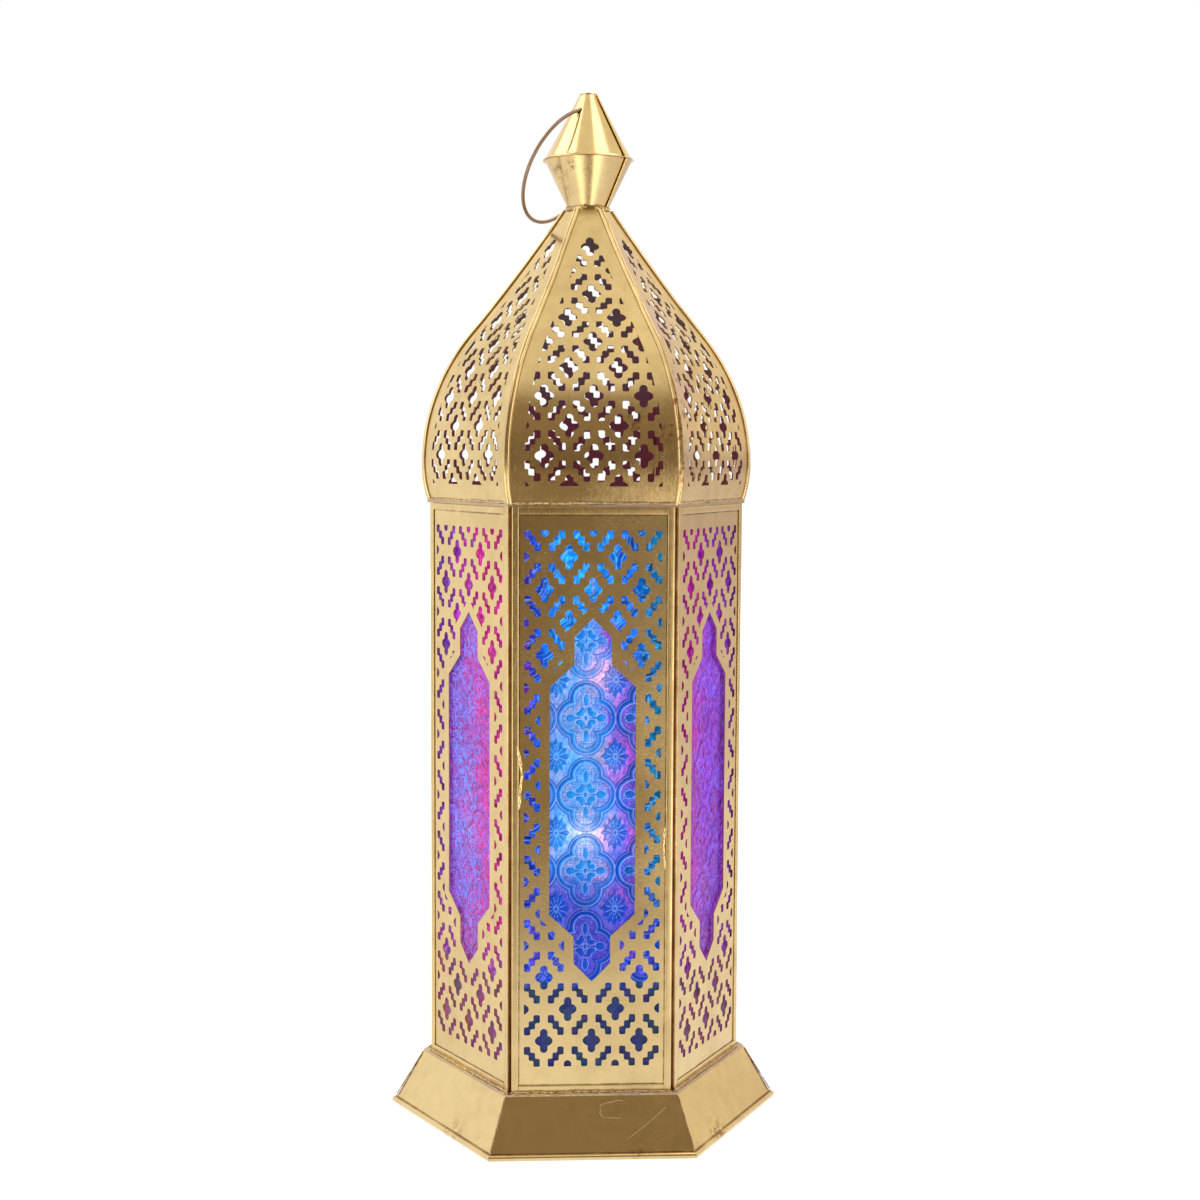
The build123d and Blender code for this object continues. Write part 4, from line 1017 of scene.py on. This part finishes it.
class LANTERN_OT_ribs(Operator):
    """Folds the raised seams between the dome's petals"""

    bl_idname = "lantern.ribs"
    bl_label = "Dome Seams"

    def curve(self):
        """The petals' line as (apothem, height) and its outward normal: a short arc out to the belly, the
        shoulder's arc, and the one hollow arc that carries on smoothly to the neck."""
        belly, neck = np.array([69.5, 320.8]), np.array([10.2, 443.8])
        bulge, rise = 2.5, 17.5
        shoulder, sweep = 108.0, 35.7
        first = (bulge ** 2 + rise ** 2) / (2 * bulge)
        low = np.linspace(-math.asin(rise / first), 0, 12)
        high = np.linspace(0, math.radians(sweep), 40)[1:]
        spokes = [np.stack([np.cos(turn), np.sin(turn)], axis=1) for turn in (low, high)]
        line = [belly + first * (spokes[0] - (1, 0)), belly + shoulder * (spokes[1] - (1, 0))]
        end, way = line[1][-1], spokes[1][-1]
        gap = neck - end
        hollow = (gap @ gap) / (2 * gap @ way)
        centre = end + hollow * way
        begin, stop = (math.atan2(*(point - centre)[::-1]) for point in (end, neck))
        turn = np.linspace(begin, stop, 50)[1:]
        spoke = np.stack([np.cos(turn), np.sin(turn)], axis=1)
        line.append(centre + abs(hollow) * spoke)
        spokes.append(-np.sign(hollow) * spoke)
        return np.concatenate(line), np.concatenate(spokes)

    def execute(self, context):
        line, normal = self.curve()
        length = np.concatenate([[0], np.cumsum(np.linalg.norm(np.diff(line, axis=0), axis=1))])
        # Half of the double fold's section: across, out from the petals, and how much grime and painted shade
        # it gets there, most in the crevices at its foot and middle
        half = np.array([(1.55, 0.0, 0.9), (1.52, 0.30, 0.6), (1.42, 0.70, 0.1), (1.20, 1.0, 0.0),
                         (0.90, 1.12, 0.0), (0.60, 1.02, 0.0), (0.34, 0.74, 0.15), (0.20, 0.45, 0.6),
                         (0.0, 0.30, 0.8)])
        profile = np.concatenate([half * (-1, 1, 1), half[-2::-1], [(1.1, -0.3, 1.0), (-1.1, -0.3, 1.0)]])
        finish = brass("rib_brass", 1.03, 0.36, 0.4, smooth=0.12, dull=0.26, wave=0.04, grime_and_shade=True,
                       stains=(((40.4, -70, 337.5), 16, 1.0), ((37.7, -65.2, 351), 9, 0.9),
                               ((41, -71, 319), 14, 0.8), ((-16.5, -28.6, 405.5), 7, 0.9)))
        dirt_and_shade = np.repeat(np.tile(profile[:, 2], len(line))[:, None], 3, axis=1)
        for number, corner in enumerate(CORNERS):
            angle = math.radians(-60 + 60 * number)
            out = np.array([math.cos(angle), math.sin(angle), 0])
            along = np.array([-math.sin(angle), math.cos(angle), 0])
            rise = profile[:, 1] * (1 + 0.07 * wander(length, 71 + number, 40)[:, None] * (profile[:, 1] > 0))
            place = line[:, None, :] + rise[..., None] * normal[:, None, :]
            sway = 0.12 * wander(length, 81 + number, 55)[:, None]
            aside = profile[None, :, 0] + sway
            radial = (place[..., 0] - np.abs(aside) * math.sin(math.radians(30))) / math.cos(math.radians(30))
            rings = radial[..., None] * out + aside[..., None] * along + place[..., 1:] * UP
            piece = mesh_piece("dome_seam_" + corner, *loft(rings), "lantern", finish, "dome_brass",
                               colours=dirt_and_shade, layer="grime_and_shade")
            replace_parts(outward(piece), "rib_" + corner)
        return {"FINISHED"}


class LANTERN_OT_solder(Operator):
    """Runs solder along the joints"""

    bl_idname = "lantern.solder"
    bl_label = "Solder"

    def execute(self, context):
        look, radius = context.scene.lantern_brass, context.scene.lantern_trim.bead / MM
        grey = brass("solder", 0.8, 0.4, 0.3, film=look.solder, film_share=0.95, smooth=0.26, dull=0.44,
                     wave=0.02)
        bright = brass("solder_run", 1.05, 0.2, 0.2, smooth=0.12, dull=0.25, wave=0.02)
        brown = brass("brown_solder", 0.75, 0.6, 0.5, film=(0.24, 0.14, 0.07), film_share=0.9, smooth=0.22,
                      dull=0.4, wave=0.02)
        self.joints(grey, radius)
        self.neck(brown)
        self.mitres(brown)
        self.front_runs(bright)
        return {"FINISHED"}

    def lay(self, name, runs, material, slot):
        """One piece made of several runs of solder."""
        points, faces = joined(runs)
        outward(mesh_piece(name, points, faces, "lantern", material, slot))

    def joints(self, material, radius):
        """Solder at the foot, along the ledge and under the dome, on all sides but the door's."""
        fixed = [side for side in SIDES if side != "rear"]
        for name, apothem, z, thick in (
            ("solder_foot_joint", BODY_APOTHEM + 0.35, PANEL_FOOT + 0.1, radius),
            ("solder_ledge", BODY_APOTHEM + 2.2, PANEL_FOOT - 0.25, 0.85 * radius),
            ("solder_dome_joint", BODY_APOTHEM + 0.25, PANEL_TOP + 1.75, 0.85 * radius),
        ):
            runs = []
            half = apothem * math.tan(math.radians(30)) - 0.8
            t = np.linspace(-half, half, 160)
            for number, side in enumerate(fixed):
                out, right = side_frame(side)
                path = (apothem + 0.12 * wander(t, 31 * number, 18))[:, None] * out + t[:, None] * right
                path[:, 2] = z + 0.18 * wander(t, 31 * number + 2, 26)
                runs.append(bead(path, thick, 31 * number + 5, flat=0.8))
            self.lay(name, runs, material, "bar_brass")

    def neck(self, material):
        """Solder round the neck, with two lumps in front."""
        turn = np.linspace(0, 2 * math.pi, 140)
        runs = []
        for angle, r, z, thick, seed in (
            (turn, 10.3, 445.3 + 0.15 * wander(turn * 10, 8, 15), 0.45, 41),
            (np.linspace(-1.95, -1.65, 12), 10.7, np.full(12, 444.9), 1.0, 43),
            (np.linspace(-1.25, -0.75, 16), 10.9, np.linspace(445.4, 444.4, 16), 0.7, 47),
        ):
            path = np.stack([r * np.cos(angle), r * np.sin(angle), z], axis=-1)
            runs.append(bead(path, thick, seed))
        self.lay("solder_neck", runs, material, "finial_brass")

    def mitres(self, material):
        """Solder down the six corners of the skirt."""
        share = np.linspace(0, 1, 60)
        r = (70.35 + (82.1 - 70.35) * share) / math.cos(math.radians(30))
        z = 25.7 + (3.4 - 25.7) * share
        runs = []
        for number in range(len(CORNERS)):
            angle = math.radians(60 * number)
            path = np.stack([r * math.cos(angle), r * math.sin(angle), z], axis=-1)
            runs.append(bead(path, 0.42, 61 + 7 * number, flat=0.7))
        self.lay("solder_mitres", runs, material, "base_brass")

    def front_runs(self, material):
        """The two bright runs on the front panel's bars."""
        left = ((-35.1, 192), (-33.7, 184), (-32.8, 178), (-33.7, 169.5), (-34.2, 161.5))
        right = ((33.9, 153), (33.5, 143), (34.1, 132.7))
        fine = np.linspace(0, 1, 70)
        runs = []
        for line, thick, seed in ((left, 0.62, 51), (right, 0.45, 53)):
            knots = np.linspace(0, 1, len(line))
            t, z = (np.interp(fine, knots, column) for column in np.array(line).T)
            path = on_side("front", np.full(len(fine), 0.25), t, z)
            runs.append(bead(path, thick, seed, flat=0.8, face=side_frame("front")[0]))
        self.lay("solder_runs_front", runs, material, "bar_brass")


class LANTERN_OT_candle(Operator):
    """Gives the battery candle its wax and its light"""

    bl_idname = "lantern.candle"
    bl_label = "Candle"

    def execute(self, context):
        f = Finish("candle_wax")
        cloud = f.noise(35, 4)
        warm = f.mix(f.rise(cloud, 0.3, 0.7), (0.80, 0.70, 0.52), (0.88, 0.80, 0.64))
        light = f.mix(f.rise(cloud, 0.2, 0.8), (0.9, 0.62, 0.30), (1.0, 0.74, 0.42))
        wax = f.set(Base_Color=warm, Roughness=0.45, Subsurface_Weight=0.25,
                    Subsurface_Radius=(0.01, 0.006, 0.003), Emission_Color=light, Emission_Strength=0.35,
                    Normal=f.bump(f.times(f.noise(140, 3), 0.08)))
        dress("candle_body", wax)
        f = Finish("candle_flame")
        high = f.rise(f.axes(f.place)[2], 0.122, 0.150)
        dress("candle_flame", f.set(Base_Color=(0.9, 0.7, 0.4), Roughness=0.3, Emission_Strength=2.0,
                                    Emission_Color=f.mix(high, (1.0, 0.85, 0.6), (1.0, 0.6, 0.2))))
        return {"FINISHED"}


class LANTERN_OT_stage(Operator):
    """Sets up the floor, the soft light and the camera"""

    bl_idname = "lantern.stage"
    bl_label = "Stage"

    def execute(self, context):
        scene, stage = context.scene, context.scene.lantern_stage
        self.floor(scene, stage)
        self.world(scene, stage)
        self.reflector(scene, stage)
        self.lamps(scene)
        self.camera(scene, stage)
        scene.view_settings.view_transform = "Standard"
        return {"FINISHED"}

    def sheet(self, scene, name, x, y, z):
        """A flat sheet of the stage, with grid lines at those x and y."""
        points = np.stack([*np.meshgrid(x, y), np.full((len(y), len(x)), z)], axis=-1).reshape(-1, 3)
        mesh = bpy.data.meshes.new(name)
        mesh.from_pydata(points.tolist(), [], grid_faces(len(y), len(x)).tolist())
        made = bpy.data.objects.new(name, mesh)
        scene.collection.objects.link(made)
        return made

    def floor(self, scene, stage):
        """A flat floor, white to the camera but for shadows, which dims towards the camera as the metal
        mirrors it."""
        span = np.linspace(-4.0, 4.0, 9)
        floor = self.sheet(scene, "floor", span, span, 0.0)
        f = Finish("floor")
        path = f.node("ShaderNodeLightPath")
        x, y = f.axes(f.place)[:2]
        ahead = f.times(y, -1.0)
        far = f.rise(ahead, 0.2, 0.62)
        slant = f.math("DIVIDE", x, f.math("MAXIMUM", ahead, 0.05))
        dark = f.times(f.rise(slant, -0.44, -0.30), f.rise(slant, 0.16, 0.27, 1.0, 0.0))
        lit = f.rise(f.math("ABSOLUTE", slant), 0.75, 1.05, 1.0, 0.0)
        near = f.mix(f.rise(x, 0.1, 1.4), (0.99, 0.97, 0.97), (0.74, 0.67, 0.68))
        mirrored = f.mix(far, near, f.mix(dark, f.mix(lit, near, (2.7, 2.6, 2.4)), stage.front))
        shine = f.node("ShaderNodeEmission", Color=mirrored, Strength=1.0)
        plain = f.node("ShaderNodeBsdfDiffuse", Color=stage.floor)
        away = f.vector("LENGTH", f.place, out=1)
        lift = f.node("ShaderNodeEmission", Color=(1, 1, 1), Strength=f.rise(away, 0.15, 0.6, 0.30, 1.0))
        seen = f.node("ShaderNodeAddShader")
        for socket, shader in zip(seen.inputs, (plain, lift)):
            f.plug(socket, shader.outputs[0])
        straight = f.either(path.outputs["Is Camera Ray"], plain, seen)
        floor.data.materials.append(f.show(f.either(path.outputs["Is Glossy Ray"], straight, shine)))

    def world(self, scene, stage):
        """White to the camera and through glass; to metal, bright at the sides, behind and above, and dim in
        front."""
        world = bpy.data.worlds.new("studio")
        world.use_nodes = True
        scene.world = world
        f = Finish("studio", world.node_tree)
        path = f.node("ShaderNodeLightPath")
        x, y, z = f.axes(f.coordinates.outputs["Generated"])[:3]
        turn = f.math("ABSOLUTE", f.math("ARCTAN2", x, f.times(y, -1.0)))
        right = f.mix(f.rise(z, -0.01, 0.09), (0.56, 0.49, 0.53), (0.92, 0.84, 0.70))
        sides = f.mix(f.rise(x, -0.2, 0.8), (1.0, 0.99, 0.98), right)
        boxes = f.times(f.rise(turn, 0.62, 0.80), f.rise(turn, 1.10, 1.35, 1.0, 0.0))
        sides = f.mix(f.times(boxes, f.rise(z, -0.1, 0.1)), sides, (1.7, 1.66, 1.55))
        dim = f.node("ShaderNodeVectorMath", {"operation": "SCALE"}, Scale=f.rise(z, 0.03, 0.35, 0.70, 1.10))
        f.plug(dim.inputs[0], stage.front)
        room = f.mix(f.rise(turn, 0.42, 0.85, 1.0, 0.0), sides, dim.outputs[0])
        mirrored = f.mix(f.rise(z, 0.75, 1.0), room, stage.ceiling)
        white = f.math("MAXIMUM", path.outputs["Is Camera Ray"], path.outputs["Is Transmission Ray"])
        soft = f.mix(path.outputs["Is Glossy Ray"], (0.62, 0.62, 0.62), mirrored)
        background = f.tree.nodes["Background"]
        f.plug(background.inputs["Color"], f.mix(white, soft, (1, 1, 1)))
        f.plug(background.inputs["Strength"], 1.0)

    def reflector(self, scene, stage):
        """A card overhead that only mirrors see: warm in the middle, with a bright box on each side."""
        card = self.sheet(scene, "reflector", np.linspace(-1.5, 1.1, 5), np.linspace(-1.55, 1.0, 5), 1.3)
        card.visible_camera = card.visible_diffuse = card.visible_transmission = card.visible_shadow = False
        f = Finish("reflector")
        x, y = f.axes(f.place)[:2]
        left = f.times(f.rise(x, -0.42, -0.32, 1.0, 0.0), f.rise(y, 0.5, 0.8, 1.0, 0.0))
        right = f.times(f.rise(x, 0.12, 0.24), f.rise(x, 0.5, 0.66, 1.0, 0.0))
        box = f.times(f.plus(left, right), f.rise(y, -0.5, -0.3))
        fade = f.mix(f.rise(y, -1.52, -1.02), stage.front, stage.ceiling)
        shine = f.node("ShaderNodeEmission", Color=f.mix(box, fade, (2.3, 2.25, 2.15)), Strength=1.0)
        card.data.materials.append(f.show(shine))

    def lamps(self, scene):
        """Three soft boxes, turned to the lantern's middle, that metal doesn't mirror."""
        middle = Vector((0, 0, 0.25))
        for name, at, width, power in (
            ("left", (-1.5, -0.7, 0.9), 1.0, 9),
            ("right", (1.5, -0.5, 0.8), 1.0, 7),
            ("above", (0.0, -0.2, 1.9), 1.4, 16),
        ):
            lamp = bpy.data.lights.new("softbox_" + name, "AREA")
            lamp.shape, lamp.size, lamp.energy = "SQUARE", width, power
            made = bpy.data.objects.new("softbox_" + name, lamp)
            scene.collection.objects.link(made)
            made.location = at
            made.visible_glossy = False
            made.rotation_euler = (middle - Vector(at)).to_track_quat("-Z", "Y").to_euler()

    def camera(self, scene, stage):
        """The camera that was fitted to the photo."""
        lens = bpy.data.cameras.new("camera")
        lens.lens, lens.sensor_width, lens.clip_start, lens.clip_end = stage.lens, 36, 0.01, 50
        camera = bpy.data.objects.new("camera", lens)
        scene.collection.objects.link(camera)
        level = math.cos(stage.pitch)
        look = Vector((level * math.sin(stage.turn), level * math.cos(stage.turn), -math.sin(stage.pitch)))
        turned = look.to_track_quat("-Z", "Y").to_matrix().to_4x4() @ Matrix.Rotation(stage.roll, 4, "Z")
        camera.matrix_world = Matrix.Translation(stage.camera) @ turned
        scene.camera = camera


class LANTERN_PT_pieces(Panel):
    """Lists the lantern's operators and settings"""

    bl_idname = "LANTERN_PT_pieces"
    bl_label = "Lantern"
    bl_space_type = "VIEW_3D"
    bl_region_type = "UI"
    bl_category = "Lantern"

    def draw(self, context):
        """A button for each operator, then each group's values."""
        for operator in OPERATORS:
            self.layout.operator(operator.bl_idname)
        for name in SETTINGS:
            group = getattr(context.scene, name)
            for key in group.__annotations__:
                self.layout.prop(group, key)


SETTINGS = {"lantern_brass": LanternBrass, "lantern_glass": LanternGlass, "lantern_trim": LanternTrim,
            "lantern_stage": LanternStage}
OPERATORS = (LANTERN_OT_brass, LANTERN_OT_bars, LANTERN_OT_ribs, LANTERN_OT_finial, LANTERN_OT_solder,
             LANTERN_OT_glass_panes, LANTERN_OT_candle, LANTERN_OT_stage)


def register():
    """Adds the classes and the scene's settings to Blender."""
    for kind in (*SETTINGS.values(), *OPERATORS, LANTERN_PT_pieces):
        bpy.utils.register_class(kind)
    for name, kind in SETTINGS.items():
        setattr(bpy.types.Scene, name, PointerProperty(type=kind))


def unregister():
    """Takes them out again, in the opposite order."""
    for name in SETTINGS:
        delattr(bpy.types.Scene, name)
    for kind in reversed((*SETTINGS.values(), *OPERATORS, LANTERN_PT_pieces)):
        bpy.utils.unregister_class(kind)


def main():
    """Builds the lantern's surfaces and stage."""
    for spare in ("Cube", "Light", "Camera"):
        if spare in bpy.data.objects:
            bpy.data.objects.remove(bpy.data.objects[spare])
    register()
    bpy.ops.lantern.brass()
    bpy.ops.lantern.bars()
    bpy.ops.lantern.ribs()
    bpy.ops.lantern.finial()
    bpy.ops.lantern.solder()
    bpy.ops.lantern.glass_panes()
    bpy.ops.lantern.candle()
    bpy.ops.lantern.stage()


if __name__ == "__main__":
    main()
